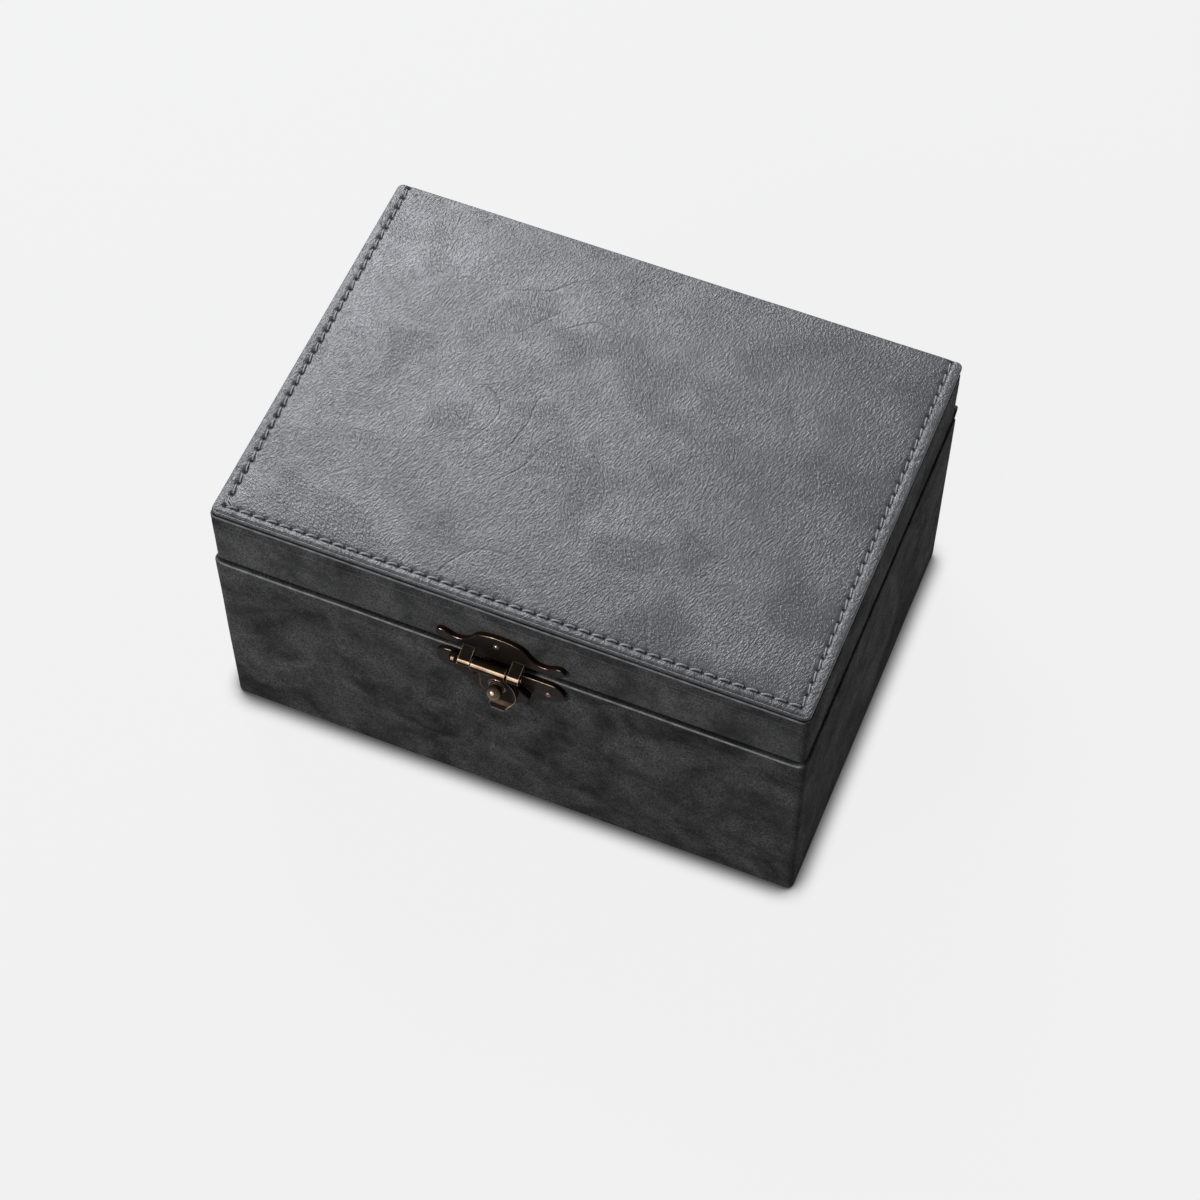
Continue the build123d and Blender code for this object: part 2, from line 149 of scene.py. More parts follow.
def soft_lamp(name, place, target, size, power, colour=(1, 1, 1)):
    """A rectangular lamp that faces a point."""
    data = bpy.data.lights.new(name, "AREA")
    data.color = colour
    data.shape = "RECTANGLE"
    data.size, data.size_y = size
    data.energy = power
    lamp = add_object(name, data)
    lamp.location = place
    lamp.rotation_euler = (Vector(target) - Vector(place)).to_track_quat("-Z", "Y").to_euler()


def show_paper(tree, lit, plain, share, output):
    """Mix two shaders: plain for the rays that see the paper, lit for the light that falls on it.

    The paper is seen by rays from the camera, off a gloss or through glass.
    """
    path = node(tree, "ShaderNodeLightPath").outputs
    seen = combine(tree, "MAXIMUM", path["Is Camera Ray"], path["Is Glossy Ray"])
    seen = combine(tree, "MAXIMUM", seen, path["Is Transmission Ray"])
    mixed = node(tree, "ShaderNodeMixShader")
    link(tree, combine(tree, "MULTIPLY", seen, share), mixed.inputs[0])
    link(tree, lit.outputs[0], mixed.inputs[1])
    link(tree, plain.outputs[0], mixed.inputs[2])
    link(tree, mixed.outputs[0], node(tree, output).inputs[0])


# %% Lamps and world
cool_white = (0.955, 0.975, 1.03)
soft_lamp("back_softbox", (-0.47, 0.56, 0.70), (0, 0, 0.06), (0.5, 0.5), 11.8, cool_white)
soft_lamp("front_left_strip", (-0.7, -0.98, 0.75), (0, 0, 0.04), (0.5, 0.3), 10.8)
soft_lamp("long_top_strip", (-0.4, -0.35, 0.9), (-0.1, 0, 0.06), (0.8, 0.05), 0.4)
soft_lamp("right_glow", (0.45, 0.42, 0.3), (0.075, 0.05, 0.04), (0.15, 0.15), 0.3)

world = bpy.data.worlds.new("studio")
bpy.context.scene.world = world
world.use_nodes = True
world_tree = world.node_tree
world_tree.nodes.clear()
world_plain = node(world_tree, "ShaderNodeBackground")
feed(world_tree, (paper_grey, paper_grey, paper_grey), world_plain.inputs["Color"])
world_fill = node(world_tree, "ShaderNodeBackground")
feed(world_tree, fill_strength, world_fill.inputs["Strength"])
show_paper(world_tree, world_fill, world_plain, 1.0, "ShaderNodeOutputWorld")

# %% The floor
shadow_reach = 6.0 * MM
shadow_darkest = 0.1
floor_reach = 6
floor_mesh = bpy.data.meshes.new("floor")
floor_mesh.from_pydata(
    [
        (-floor_reach, -floor_reach, 0),
        (floor_reach, -floor_reach, 0),
        (floor_reach, floor_reach, 0),
        (-floor_reach, floor_reach, 0),
    ],
    [],
    [(0, 1, 2, 3)],
)
floor = add_object("floor", floor_mesh)

floor_material = bpy.data.materials.new("paper floor")
floor_material.use_nodes = True
floor_tree = floor_material.node_tree
floor_tree.nodes.clear()
floor_lit = node(floor_tree, "ShaderNodeBsdfDiffuse")
feed(floor_tree, (0.5, 0.5, 0.5), floor_lit.inputs["Color"])
near_box = node(floor_tree, "ShaderNodeAmbientOcclusion", samples=24)
feed(floor_tree, shadow_reach, near_box.inputs["Distance"])
shade = remap(
    floor_tree,
    near_box.outputs["AO"],
    0.42,
    1.0,
    shadow_darkest * paper_grey,
    paper_grey,
    interpolation_type="SMOOTHSTEP",
)
floor_plain = node(floor_tree, "ShaderNodeEmission")
link(floor_tree, shade, floor_plain.inputs["Color"])
show_paper(floor_tree, floor_lit, floor_plain, 0.95, "ShaderNodeOutputMaterial")
floor_mesh.materials.append(floor_material)

bpy.context.scene.view_settings.view_transform = "Standard"
print("studio ready, floor grey", paper_grey)

# %% [markdown]
# ## Effects that several finishes share
# Real leather is never one colour: the dye lies in soft clouds, its skin has a fine grain, and thin
# creases wander over it. Metal and leather both wear first along their edges. Each of these effects
# is a node group with named inputs, so a finish only has to say how large and how strong it is.

# %% A small helper for node groups


def new_group(name, inputs, outputs):
    """An empty shader node group that puts out numbers.

    inputs are default values by name: a vector where the value is a tuple, otherwise a number.
    """
    tree = bpy.data.node_groups.new(name, "ShaderNodeTree")
    for label, value in inputs.items():
        kind = "NodeSocketVector" if isinstance(value, tuple) else "NodeSocketFloat"
        socket = tree.interface.new_socket(label, in_out="INPUT", socket_type=kind)
        socket.default_value = value
    for label in outputs:
        tree.interface.new_socket(label, in_out="OUTPUT", socket_type="NodeSocketFloat")
    return tree, node(tree, "NodeGroupInput").outputs, node(tree, "NodeGroupOutput").inputs


def noise(tree, where, scale, detail=2.0, roughness=0.5, distortion=0.0):
    """A noise texture's value. scale may be a number or another node's output."""
    made = node(tree, "ShaderNodeTexNoise")
    for label, value in (
        ("Vector", where),
        ("Scale", scale),
        ("Detail", detail),
        ("Roughness", roughness),
        ("Distortion", distortion),
    ):
        feed(tree, value, made.inputs[label])
    return made.outputs["Fac"]


# %% [markdown]
# ### Clouded dye
# Waxed synthetic leather is rubbed by hand, which leaves lighter and darker clouds about as wide
# as a thumb, with ragged borders. Two noises make them: a broad one for the clouds and a finer one
# that frays their borders.

# %% Clouded dye


def clouds_group():
    tree, given, result = new_group(
        "clouded dye", {"Vector": (0, 0, 0), "Cloud Scale": 38.0}, ["Clouds"]
    )
    broad = noise(tree, given["Vector"], given["Cloud Scale"], 5, 0.6, 0.9)
    fine = noise(tree, given["Vector"], 190, 5, 0.62, 0.5)
    body = remap(tree, broad, 0.34, 0.66)
    fray = remap(tree, fine, 0.3, 0.7, -0.3, 0.3)
    both = combine(tree, "ADD", body, fray)
    link(tree, remap(tree, both, -0.15, 1.15), result["Clouds"])
    return tree


clouds = clouds_group()
print("made group:", clouds.name)

# %% [markdown]
# ### Leather skin
# Seen closely, the skin is a field of short ridges, under half a millimetre apart, that lie mostly
# one way and in places another. A noise that is stretched along a direction draws them, and a slow
# noise chooses between two directions. Between the ridges run small folds, a few millimetres long
# and in bundles: they follow the lines where a stretched noise crosses its middle value. Long
# wrinkles are the contour lines of a smooth noise, kept only in patches. The folds and wrinkles
# read their own coordinates, so that leather stretched round a wall can have them drawn out along
# it.

# %% Leather skin


def ridges(tree, where, turn, fineness, stretch):
    """Short ridges along one direction: a stretched noise."""
    lie = node(tree, "ShaderNodeMapping", vector_type="TEXTURE")
    for label, value in (("Vector", where), ("Rotation", turn), ("Scale", (stretch, 1, 1))):
        feed(tree, value, lie.inputs[label])
    return noise(tree, lie.outputs["Vector"], fineness, 2, 0.55, 0.35)


def in_patches(tree, line, shows, low, high):
    """Keep a line only where a slow noise is above low."""
    return combine(tree, "MULTIPLY", line, remap(tree, shows, low, high))


def folds(tree, where, turn, fineness, stretch, patch):
    """Bundles of small folds, where a stretched noise crosses its middle value."""
    band = combine(tree, "SUBTRACT", ridges(tree, where, turn, fineness, stretch), 0.5)
    line = remap(tree, combine(tree, "ABSOLUTE", band, 0), 0.0, 0.11, 1.0, 0.0)
    return in_patches(tree, line, noise(tree, where, patch, 2, 0.5, 0.4), 0.46, 0.64)


def wrinkles(tree, where, size, count, patch, sharpness):
    """Long thin lines along the contours of a noise, in patches."""
    hills = noise(tree, where, size, 2, 0.45, 0.5)
    wave = combine(tree, "SINE", combine(tree, "MULTIPLY", hills, count), 0)
    line = combine(tree, "POWER", remap(tree, wave, 0.0, 1.0), sharpness)
    return in_patches(tree, line, noise(tree, where, patch, 2, 0.5), 0.5, 0.66)


def skin_group():
    tree, given, result = new_group(
        "leather skin",
        {"Vector": (0, 0, 0), "Fold Vector": (0, 0, 0), "Grain": 1.0, "Creases": 1.0},
        ["Height", "Crease Mask", "Grain"],
    )
    where, along = given["Vector"], given["Fold Vector"]
    grain = node(tree, "ShaderNodeMix", data_type="FLOAT")
    link(tree, remap(tree, noise(tree, where, 60, 2, 0.5), 0.46, 0.6), grain.inputs[0])
    link(tree, ridges(tree, where, (0.3, 0.2, 1.2), 2150, 2.2), grain.inputs[2])
    link(tree, ridges(tree, where, (-0.2, 0.3, -0.8), 2250, 1.9), grain.inputs[3])
    grain = grain.outputs[0]
    upright = folds(tree, along, (0.1, 0.1, 1.3), 760, 4.0, 34)
    level = folds(tree, along, (0.1, -0.2, -0.3), 820, 4.5, 29)
    bundles = wrinkles(tree, along, 24, 190, 36, 7)
    singles = wrinkles(tree, along, 17, 62, 27, 26)
    small = combine(tree, "MULTIPLY", combine(tree, "MAXIMUM", upright, level), 0.3)
    long = combine(tree, "MAXIMUM", combine(tree, "MULTIPLY", bundles, 0.55), singles)
    creases = combine(tree, "MAXIMUM", small, long)
    creases = combine(tree, "MULTIPLY", creases, given["Creases"])
    raised = combine(tree, "MULTIPLY", grain, given["Grain"])
    sunk = combine(tree, "MULTIPLY", creases, 0.4)
    link(tree, combine(tree, "SUBTRACT", raised, sunk), result["Height"])
    link(tree, creases, result["Crease Mask"])
    link(tree, grain, result["Grain"])
    return tree


skin = skin_group()
print("made group:", skin.name)

# %% [markdown]
# ### Edge wear
# A Bevel node rounds the normal near an edge. Where the rounded normal leaves the true one, there
# is an edge, and that is where hands rub the finish away. A noise breaks the line up.

# %% Edge wear


def alike(tree, first, second):
    """How far two directions agree: 1 where they are the same."""
    dot = node(tree, "ShaderNodeVectorMath", operation="DOT_PRODUCT")
    link(tree, first, dot.inputs[0])
    link(tree, second, dot.inputs[1])
    return dot.outputs["Value"]


def broken_up(tree, given, line, low, least):
    """Break a line of wear up with a noise, down to a least share of it."""
    broken = noise(tree, given["Vector"], given["Breakup Scale"], 3, 0.6)
    return combine(tree, "MULTIPLY", line, remap(tree, broken, low, 0.6, least, 1.0))


def wear_group():
    tree, given, result = new_group(
        "edge wear", {"Vector": (0, 0, 0), "Width": 0.0004, "Breakup Scale": 400.0}, ["Wear"]
    )
    rounded = node(tree, "ShaderNodeBevel", samples=4)
    link(tree, given["Width"], rounded.inputs["Radius"])
    true = node(tree, "ShaderNodeNewGeometry")
    edge = remap(tree, alike(tree, rounded.outputs["Normal"], true.outputs["Normal"]), 0.96, 0.86)
    link(tree, broken_up(tree, given, edge, 0.3, 0.35), result["Wear"])
    return tree


wear = wear_group()
print("made group:", wear.name)

# %% [markdown]
# ### A painted highlight on shoulders
# A bright stripe is painted on whatever faces up and out: along a barrel, along the rounded edge of
# a plate, as a spot on a ball. It stands in for the line of light that a lamp draws on round metal.
# The group compares the surface's direction, read in the object's own axes, with a facing direction.

# %% A painted highlight on shoulders


def painted_highlight_group():
    tree, given, result = new_group(
        "painted highlight stripe",
        {"Vector": (0, 0, 0), "Facing": (0.0, -0.76, 0.65), "Breakup Scale": 400.0},
        ["Polish"],
    )
    true = node(tree, "ShaderNodeNewGeometry")
    own = node(tree, "ShaderNodeVectorTransform", vector_type="NORMAL")
    own.convert_from, own.convert_to = "WORLD", "OBJECT"
    link(tree, true.outputs["Normal"], own.inputs["Vector"])
    stripe = remap(tree, alike(tree, own.outputs["Vector"], given["Facing"]), 0.962, 0.99)
    link(tree, broken_up(tree, given, stripe, 0.35, 0.45), result["Polish"])
    return tree


shoulder = painted_highlight_group()
print("made group:", shoulder.name)

# %% [markdown]
# ## The finishes
# Every finish below is one Principled shader with its colour, roughness and relief worked out from
# the groups above. Colours are linear values of the real material under plain white light, except
# where painted light or shade is named.

# %% A helper that starts a finish


def new_finish(name, roughness=0.5, metallic=0.0, specular=0.5):
    """A material with a Principled shader.

    Returns the material, its tree, the shader and the Object coordinates.
    """
    material = bpy.data.materials.new(name)
    material.use_nodes = True
    tree = material.node_tree
    shader = tree.nodes["Principled BSDF"]
    shader.inputs["Roughness"].default_value = roughness
    shader.inputs["Metallic"].default_value = metallic
    shader.inputs["Specular IOR Level"].default_value = specular
    return material, tree, shader, node(tree, "ShaderNodeTexCoord").outputs["Object"]


def place_group(tree, group, where, **values):
    """Put a node group into a material, fed with coordinates and named values."""
    made = node(tree, "ShaderNodeGroup")
    made.node_tree = group
    link(tree, where, made.inputs["Vector"])
    for label, value in values.items():
        feed(tree, value, made.inputs[label.replace("_", " ")])
    return made.outputs


def mix_colour(tree, factor, first, second):
    """Blend two colours, each another node's output or an RGB triple."""
    made = node(tree, "ShaderNodeMix", data_type="RGBA")
    for index, value in ((0, factor), (6, first), (7, second)):
        feed(tree, value, made.inputs[index])
    return made.outputs[2]


def shaded(colour, share):
    """An RGB triple made darker, or brighter where share is above 1."""
    return tuple(share * part for part in colour)


def relief(tree, shader, height, strength, distance):
    """Feed a height into the shader's normal."""
    bump = node(tree, "ShaderNodeBump")
    bump.inputs["Strength"].default_value = strength
    bump.inputs["Distance"].default_value = distance
    link(tree, height, bump.inputs["Height"])
    link(tree, bump.outputs["Normal"], shader.inputs["Normal"])


# %% [markdown]
# ### Grey leather
# Dark grey, with clouds that go from charcoal to ash. The meshes carry an attribute, ridge, for a
# light line along a folded edge, which is partly rubbed dye and partly a painted highlight. Needle
# holes get painted shade, near black, and so do the creases; the grain's pits are darker, partly wax
# in them and partly painted shade. The attribute pressed carries painted shade on the cover's front
# face, in its pressed line and on the flats turned in out of sight. The cover and the walls are one
# leather in two copies: the cover's is tinted a little cool, a painted sheen, and is glossier; the
# walls' is lighter, painted light for walls that the lamps leave dim, and duller.

# %% Grey leather
# painted shade for the needle holes
needle_hole_shade = (0.002, 0.002, 0.002)


def leather_finish(name, dark, light, worn, gloss, specular, cloud_scale, relief_depth, drawn_out):
    """Clouded leather. gloss is its roughness in the dark clouds and in the light ones."""
    material, tree, shader, where = new_finish(name, specular=specular)
    dye = place_group(tree, clouds, where, Cloud_Scale=cloud_scale)["Clouds"]
    stretched = node(tree, "ShaderNodeMapping")
    feed(tree, drawn_out, stretched.inputs["Scale"])
    link(tree, where, stretched.inputs["Vector"])
    surface = place_group(
        tree, skin, where, Fold_Vector=stretched.outputs["Vector"], Grain=1.0, Creases=1.0
    )
    colour = mix_colour(tree, dye, dark, light)
    # the grain's pits are darker, partly wax in them and partly painted shade; the creases get
    # painted shade
    hollow = remap(tree, surface["Grain"], 0.58, 0.4, 0.0, 0.65)
    colour = mix_colour(tree, hollow, colour, shaded(dark, 0.45))
    crease_shade = combine(tree, "MULTIPLY", surface["Crease Mask"], 0.4)
    colour = mix_colour(tree, crease_shade, colour, shaded(dark, 0.5))
    # ridge is a light line, partly rubbed dye and partly a painted highlight; pressed is painted
    # shade
    for mark, shade in (("ridge", worn), ("pressed", shaded(dark, 0.3))):
        share = node(tree, "ShaderNodeAttribute", attribute_name=mark).outputs["Fac"]
        colour = mix_colour(tree, share, colour, shade)
    # painted shade in the needle holes, near black
    needle = node(tree, "ShaderNodeAttribute", attribute_name="needle")
    hole = remap(tree, needle.outputs["Fac"], 0.36, 0.52)
    link(tree, mix_colour(tree, hole, colour, needle_hole_shade), shader.inputs["Base Color"])
    dull, shiny = gloss
    roughness = remap(tree, dye, 0.0, 1.0, dull, shiny)
    in_holes = combine(tree, "MULTIPLY", hole, 0.5)
    unpolished = combine(tree, "ADD", in_holes, combine(tree, "MULTIPLY", hollow, 0.12))
    link(tree, combine(tree, "ADD", roughness, unpolished), shader.inputs["Roughness"])
    relief(tree, shader, surface["Height"], 1.0, relief_depth)
    return material


# One leather in two copies. The cover's copy is tinted a little cool, a painted sheen, and its ridge
# colour is partly rubbed dye and partly a painted highlight.
leather = leather_finish(
    "leather copy for the top",
    dark=(0.021, 0.021, 0.0245),
    light=(0.064, 0.0632, 0.0705),
    worn=(0.2, 0.2, 0.205),
    gloss=(0.35, 0.255),
    specular=0.45,
    cloud_scale=42.0,
    relief_depth=0.0002,
    drawn_out=(1, 1, 1),
)
# The walls' copy is lighter, painted light for walls that the lamps leave dim; its much lighter ridge
# colour is partly rubbed dye and partly a painted highlight.
wall_leather = leather_finish(
    "leather copy for the walls",
    dark=(0.028, 0.0282, 0.028),
    light=(0.118, 0.1185, 0.117),
    worn=(0.4, 0.405, 0.42),
    gloss=(0.85, 0.7),
    specular=0.03,
    cloud_scale=58.0,
    relief_depth=0.0003,
    drawn_out=(0.4, 0.4, 1.5),
)
print("finishes:", leather.name, wall_leather.name)

# %% [markdown]
# ### Antique bronze
# The latch is plated, blackened and then rubbed, so it is nearly black-brown on its flats and
# bright copper along its edges and on whatever fingers touch. A painted highlight, a bright stripe
# on whatever faces up and out, is added to that bright copper.

# %% Antique bronze
# fingers rub what stands out in front of the plates, and the painted highlight is kept to what is
# above the lip
fingers_from, fingers_most = -0.0596, -0.0622
stripe_lowest, stripe_full = 0.0545, 0.0565


def bronze_finish(name, patina, bare, rubbed_share, least_metal):
    """Blackened bronze: a dull patina, bare metal where it is worn through.

    rubbed_share is how much bare metal shows on whatever stands out towards the hand, and
    least_metal is how metallic the patina itself is. The bright bare colour along the edges is
    wear, and on whatever faces up and out it is a painted highlight.
    """
    material, tree, shader, where = new_finish(name, specular=0.02)
    edges = place_group(tree, wear, where, Width=0.0003, Breakup_Scale=300.0)["Wear"]
    # a painted highlight: a bright stripe where the surface faces up and out, kept above the lip
    highlight_stripe = place_group(tree, shoulder, where, Breakup_Scale=350.0)["Polish"]
    place = node(tree, "ShaderNodeSeparateXYZ")
    link(tree, where, place.inputs[0])
    above_lip = remap(tree, place.outputs["Z"], stripe_lowest, stripe_full, 0.15, 1.0)
    painted_stripe = combine(tree, "MULTIPLY", highlight_stripe, above_lip)
    # bright bare colour: real wear along the edges and the painted highlight stripe
    bare_and_highlight = combine(tree, "MAXIMUM", combine(tree, "MULTIPLY", edges, 0.65), painted_stripe)
    stains = noise(tree, where, 260, 5, 0.65, 0.4)
    stands_out = remap(tree, place.outputs["Y"], fingers_from, fingers_most)
    thin = combine(tree, "MULTIPLY", stands_out, remap(tree, stains, 0.3, 0.6, 0.5, 1.0))
    colour = mix_colour(tree, combine(tree, "MULTIPLY", thin, rubbed_share), patina, bare)
    colour = mix_colour(tree, bare_and_highlight, colour, shaded(bare, 2.1))
    link(tree, colour, shader.inputs["Base Color"])
    metal = combine(tree, "MAXIMUM", bare_and_highlight, thin)
    stained = remap(tree, stains, 0.4, 0.75, least_metal, 0.35 + least_metal)
    metal = combine(tree, "MAXIMUM", metal, stained)
    link(tree, metal, shader.inputs["Metallic"])
    link(tree, remap(tree, metal, 0.0, 1.0, 0.42, 0.2), shader.inputs["Roughness"])
    relief(tree, shader, noise(tree, where, 2600, 3, 0.6), 0.12, 0.00006)
    return material


bronze = bronze_finish("antique bronze", (0.014, 0.011, 0.0085), (0.36, 0.25, 0.16), 0.12, 0.05)
rubbed_bronze = bronze_finish("rubbed bronze", (0.024, 0.018, 0.013), (0.46, 0.33, 0.22), 0.2, 0.08)
nail_brass = bronze_finish("nail brass", (0.1, 0.078, 0.056), (0.55, 0.42, 0.28), 0.0, 0.4)
print("finishes:", bronze.name, rubbed_bronze.name, nail_brass.name)

# %% [markdown]
# ### The inside: velvet, shielding cloth, felt and board
# Velvet gets its look from sheen, a soft light at its rim, and from a pile that lies in patches.
# The shielding cloth is a plain weave of silvered threads, drawn with two crossed waves. The rest
# only shows at an edge or from below, but each is finished too.

# %% Velvet and felt


def pile_finish(name, dark, light, pile_scale, sheen):
    material, tree, shader, where = new_finish(name, 0.9, specular=0.2)
    shader.inputs["Sheen Weight"].default_value = sheen
    shader.inputs["Sheen Roughness"].default_value = 0.4
    lie = remap(tree, noise(tree, where, 55, 4, 0.6, 0.5), 0.35, 0.65)
    link(tree, mix_colour(tree, lie, dark, light), shader.inputs["Base Color"])
    relief(tree, shader, noise(tree, where, pile_scale, 3, 0.7), 0.6, 0.0002)
    return material


velvet = pile_finish("charcoal velvet", (0.012, 0.012, 0.013), (0.026, 0.026, 0.028), 2400, 0.35)
felt = pile_finish("black felt", (0.01, 0.01, 0.01), (0.02, 0.02, 0.02), 1500, 0.15)
print("finishes:", velvet.name, felt.name)

# %% Shielding cloth
waves_per_scale = 20


def cloth_finish(name, dark, light, threads_per_metre):
    material, tree, shader, where = new_finish(name, 0.45, metallic=0.6)
    ripples = []
    for direction in ("X", "Y", "Z"):
        wave = node(tree, "ShaderNodeTexWave", wave_type="BANDS", bands_direction=direction)
        for label, value in (
            ("Vector", where),
            ("Scale", threads_per_metre / waves_per_scale),
            ("Distortion", 0.3),
        ):
            feed(tree, value, wave.inputs[label])
        ripples.append(wave.outputs["Fac"])
    weave = combine(tree, "MULTIPLY", ripples[0], ripples[2])
    weave = combine(tree, "ADD", weave, combine(tree, "MULTIPLY", ripples[1], 0.5))
    link(tree, mix_colour(tree, weave, dark, light), shader.inputs["Base Color"])
    relief(tree, shader, weave, 0.5, 0.0001)
    return material


shield_cloth = cloth_finish("shielding cloth", (0.2, 0.2, 0.19), (0.5, 0.5, 0.48), 2600)
print("finish:", shield_cloth.name)

# %% Board and thread


def fibre_finish(name, dark, light, scale, roughness=0.8):
    material, tree, shader, where = new_finish(name, roughness, specular=0.3)
    fibres = noise(tree, where, scale, 4, 0.7, 0.5)
    colour = mix_colour(tree, remap(tree, fibres, 0.3, 0.7), dark, light)
    link(tree, colour, shader.inputs["Base Color"])
    relief(tree, shader, fibres, 0.4, 0.00015)
    return material


fibreboard = fibre_finish("fibreboard", (0.24, 0.16, 0.095), (0.38, 0.28, 0.18), 900)
thread = fibre_finish("waxed thread", (0.14, 0.14, 0.145), (0.36, 0.36, 0.37), 3500, 0.5)
print("finishes:", fibreboard.name, thread.name)

# %% [markdown]
# ## Rings and lofts
# Almost every soft piece of the box is a rectangle with rounded corners that changes size as it
# goes up or down. So one helper gives such a rectangle as a ring of points, moved inwards by any
# amount, and another joins a stack of rings with faces. The rings all have the same number of
# points, even where a corner has shrunk to nothing, so they always match.

# %% Rings and lofts


def ring(outline, inset, counts):
    """A rounded rectangle as points, anticlockwise from the end of its front left corner.

    outline is (half width, front, back, front corner radius, back corner radius);
    counts is (along X, along Y, per corner).
    """
    half_width, front, back, front_corner, back_corner = outline
    along_x, along_y, per_corner = counts
    half, low, high = half_width - inset, front + inset, back - inset
    near, far = max(front_corner - inset, 0), max(back_corner - inset, 0)

    def run(start, end, count):
        steps = np.linspace(0, 1, count + 1)[:, None]
        return np.array(start) * (1 - steps) + np.array(end) * steps

    def bend(x, y, radius, start):
        angles = np.radians(start + np.linspace(0, 90, per_corner + 1)[1:-1])
        return np.array((x, y)) + radius * np.stack([np.cos(angles), np.sin(angles)], 1)

    return np.concatenate(
        [
            run((-half + near, low), (half - near, low), along_x),
            bend(half - near, low + near, near, -90),
            run((half, low + near), (half, high - far), along_y),
            bend(half - far, high - far, far, 0),
            run((half - far, high), (-half + far, high), along_x),
            bend(-half + far, high - far, far, 90),
            run((-half, high - far), (-half, low + near), along_y),
            bend(-half + near, low + near, near, 180),
        ]
    )


def run_starts(first, counts):
    """Where the front, right, back and left runs of a ring begin, counted from its first point."""
    along_x, along_y, per_corner = counts
    right = first + along_x + per_corner
    back = right + along_y + per_corner
    return first, right, back, back + along_x + per_corner


def at_height(points, height):
    return np.column_stack([points, np.full(len(points), height)])


def loft(rings):
    """Quads between each closed ring and the next. Returns all the points and the faces."""
    count = len(rings[0])
    faces = []
    for level in range(len(rings) - 1):
        low, high = level * count, (level + 1) * count
        for i in range(count):
            ahead = (i + 1) % count
            faces.append((low + i, low + ahead, high + ahead, high + i))
    return np.concatenate(rings), faces


def fill_middle(points, faces, first, counts, upwards):
    """Close a ring whose corners have shrunk to points with a regular grid of cells."""
    along_x, along_y = counts[:2]
    front, right, back, left = run_starts(first, counts)
    border = points[front : front + along_x + 1], points[right : right + along_y + 1]
    inner = [
        (border[0][i][0], border[1][j][1], points[first][2])
        for j in range(1, along_y)
        for i in range(1, along_x)
    ]
    base = len(points)

    def cell(i, j):
        if j == 0:
            return front + i
        if j == along_y:
            return back + along_x - i
        if i == 0:
            return left + along_y - j
        if i == along_x:
            return right + j
        return base + (j - 1) * (along_x - 1) + i - 1

    for j in range(along_y):
        for i in range(along_x):
            face = (cell(i, j), cell(i + 1, j), cell(i + 1, j + 1), cell(i, j + 1))
            faces.append(face if upwards else face[::-1])
    return np.concatenate([points, np.array(inner)])


def make_piece(name, points, faces, finish, **marks):
    """A mesh object at the origin from points in metres, smooth shaded, with doubles merged.

    marks are named values per point, kept as attributes that the finish can read.
    """
    mesh = bpy.data.meshes.new(name)
    mesh.from_pydata([tuple(p) for p in points], [], faces)
    for label, values in marks.items():
        attribute = mesh.attributes.new(label, "FLOAT", "POINT")
        attribute.data.foreach_set("value", np.asarray(values, dtype=np.float32))
    shape = bmesh.new()
    shape.from_mesh(mesh)
    bmesh.ops.remove_doubles(shape, verts=shape.verts, dist=1e-6)
    bmesh.ops.dissolve_degenerate(shape, edges=shape.edges, dist=1e-7)
    shape.to_mesh(mesh)
    shape.free()
    mesh.shade_smooth()
    mesh.materials.append(finish)
    return add_object(name, mesh)


def face_outwards(piece):
    """Close whatever is still open in a piece and turn all its faces outwards."""
    shape = bmesh.new()
    shape.from_mesh(piece.data)
    bmesh.ops.holes_fill(shape, edges=[edge for edge in shape.edges if edge.is_boundary])
    bmesh.ops.recalc_face_normals(shape, faces=shape.faces)
    shape.to_mesh(piece.data)
    shape.free()
    piece.data.shade_smooth()


def keep_result(piece, modifier):
    """Give a piece the plain mesh that its modifier makes, and remove the modifier."""
    evaluated = piece.evaluated_get(bpy.context.evaluated_depsgraph_get())
    mesh = bpy.data.meshes.new_from_object(evaluated)
    piece.modifiers.remove(modifier)
    piece.data = mesh


def thicken(piece, thickness):
    """Give a sheet its thickness, inwards, and make it part of the mesh."""
    solidify = piece.modifiers.new("thickness", "SOLIDIFY")
    solidify.thickness = thickness
    solidify.offset = -1
    solidify.use_even_offset = True
    keep_result(piece, solidify)
    return piece


def report(piece):
    piece.data.calc_loop_triangles()
    print(f"{piece.name}: {len(piece.data.loop_triangles)} triangles")


def ramp(values, start, length, least=0.0):
    """How far values are past start, as a share of a length, held between least and 1.

    A negative length counts the other way.
    """
    return np.clip((values - start) / length, least, 1)


def bell(distances, width):
    """1 at no distance, falling off softly over a width."""
    return np.exp(-((distances / width) ** 2))


def unevenness(points, size, height):
    """Slow, repeatable bumps for anything glued or stretched by hand: a few crossed sine waves."""
    x, y, z = (points[:, i] / size for i in range(3))
    return height * (
        np.sin(1.9 * x + 1.1 * y + 0.7 * z)
        + 0.7 * np.sin(1.3 * x - 2.3 * y + 1.7 * z + 2.0)
        + 0.5 * np.sin(-2.9 * x + 0.6 * y - 2.4 * z + 4.0)
    ) / 2.2


# %% [markdown]
# ## The cover
# The cover is a thin panel: a sheet of foam under leather, sewn round three sides. The seam pulls
# the leather down in a channel, each needle hole makes a small pit, and the margin outside the seam
# puckers between the holes. A pressed line runs along the front edge. The back edge has no seam,
# because there the leather runs on down the back as the hinge. Rings close together carry the seam;
# inside them a coarser grid is enough.

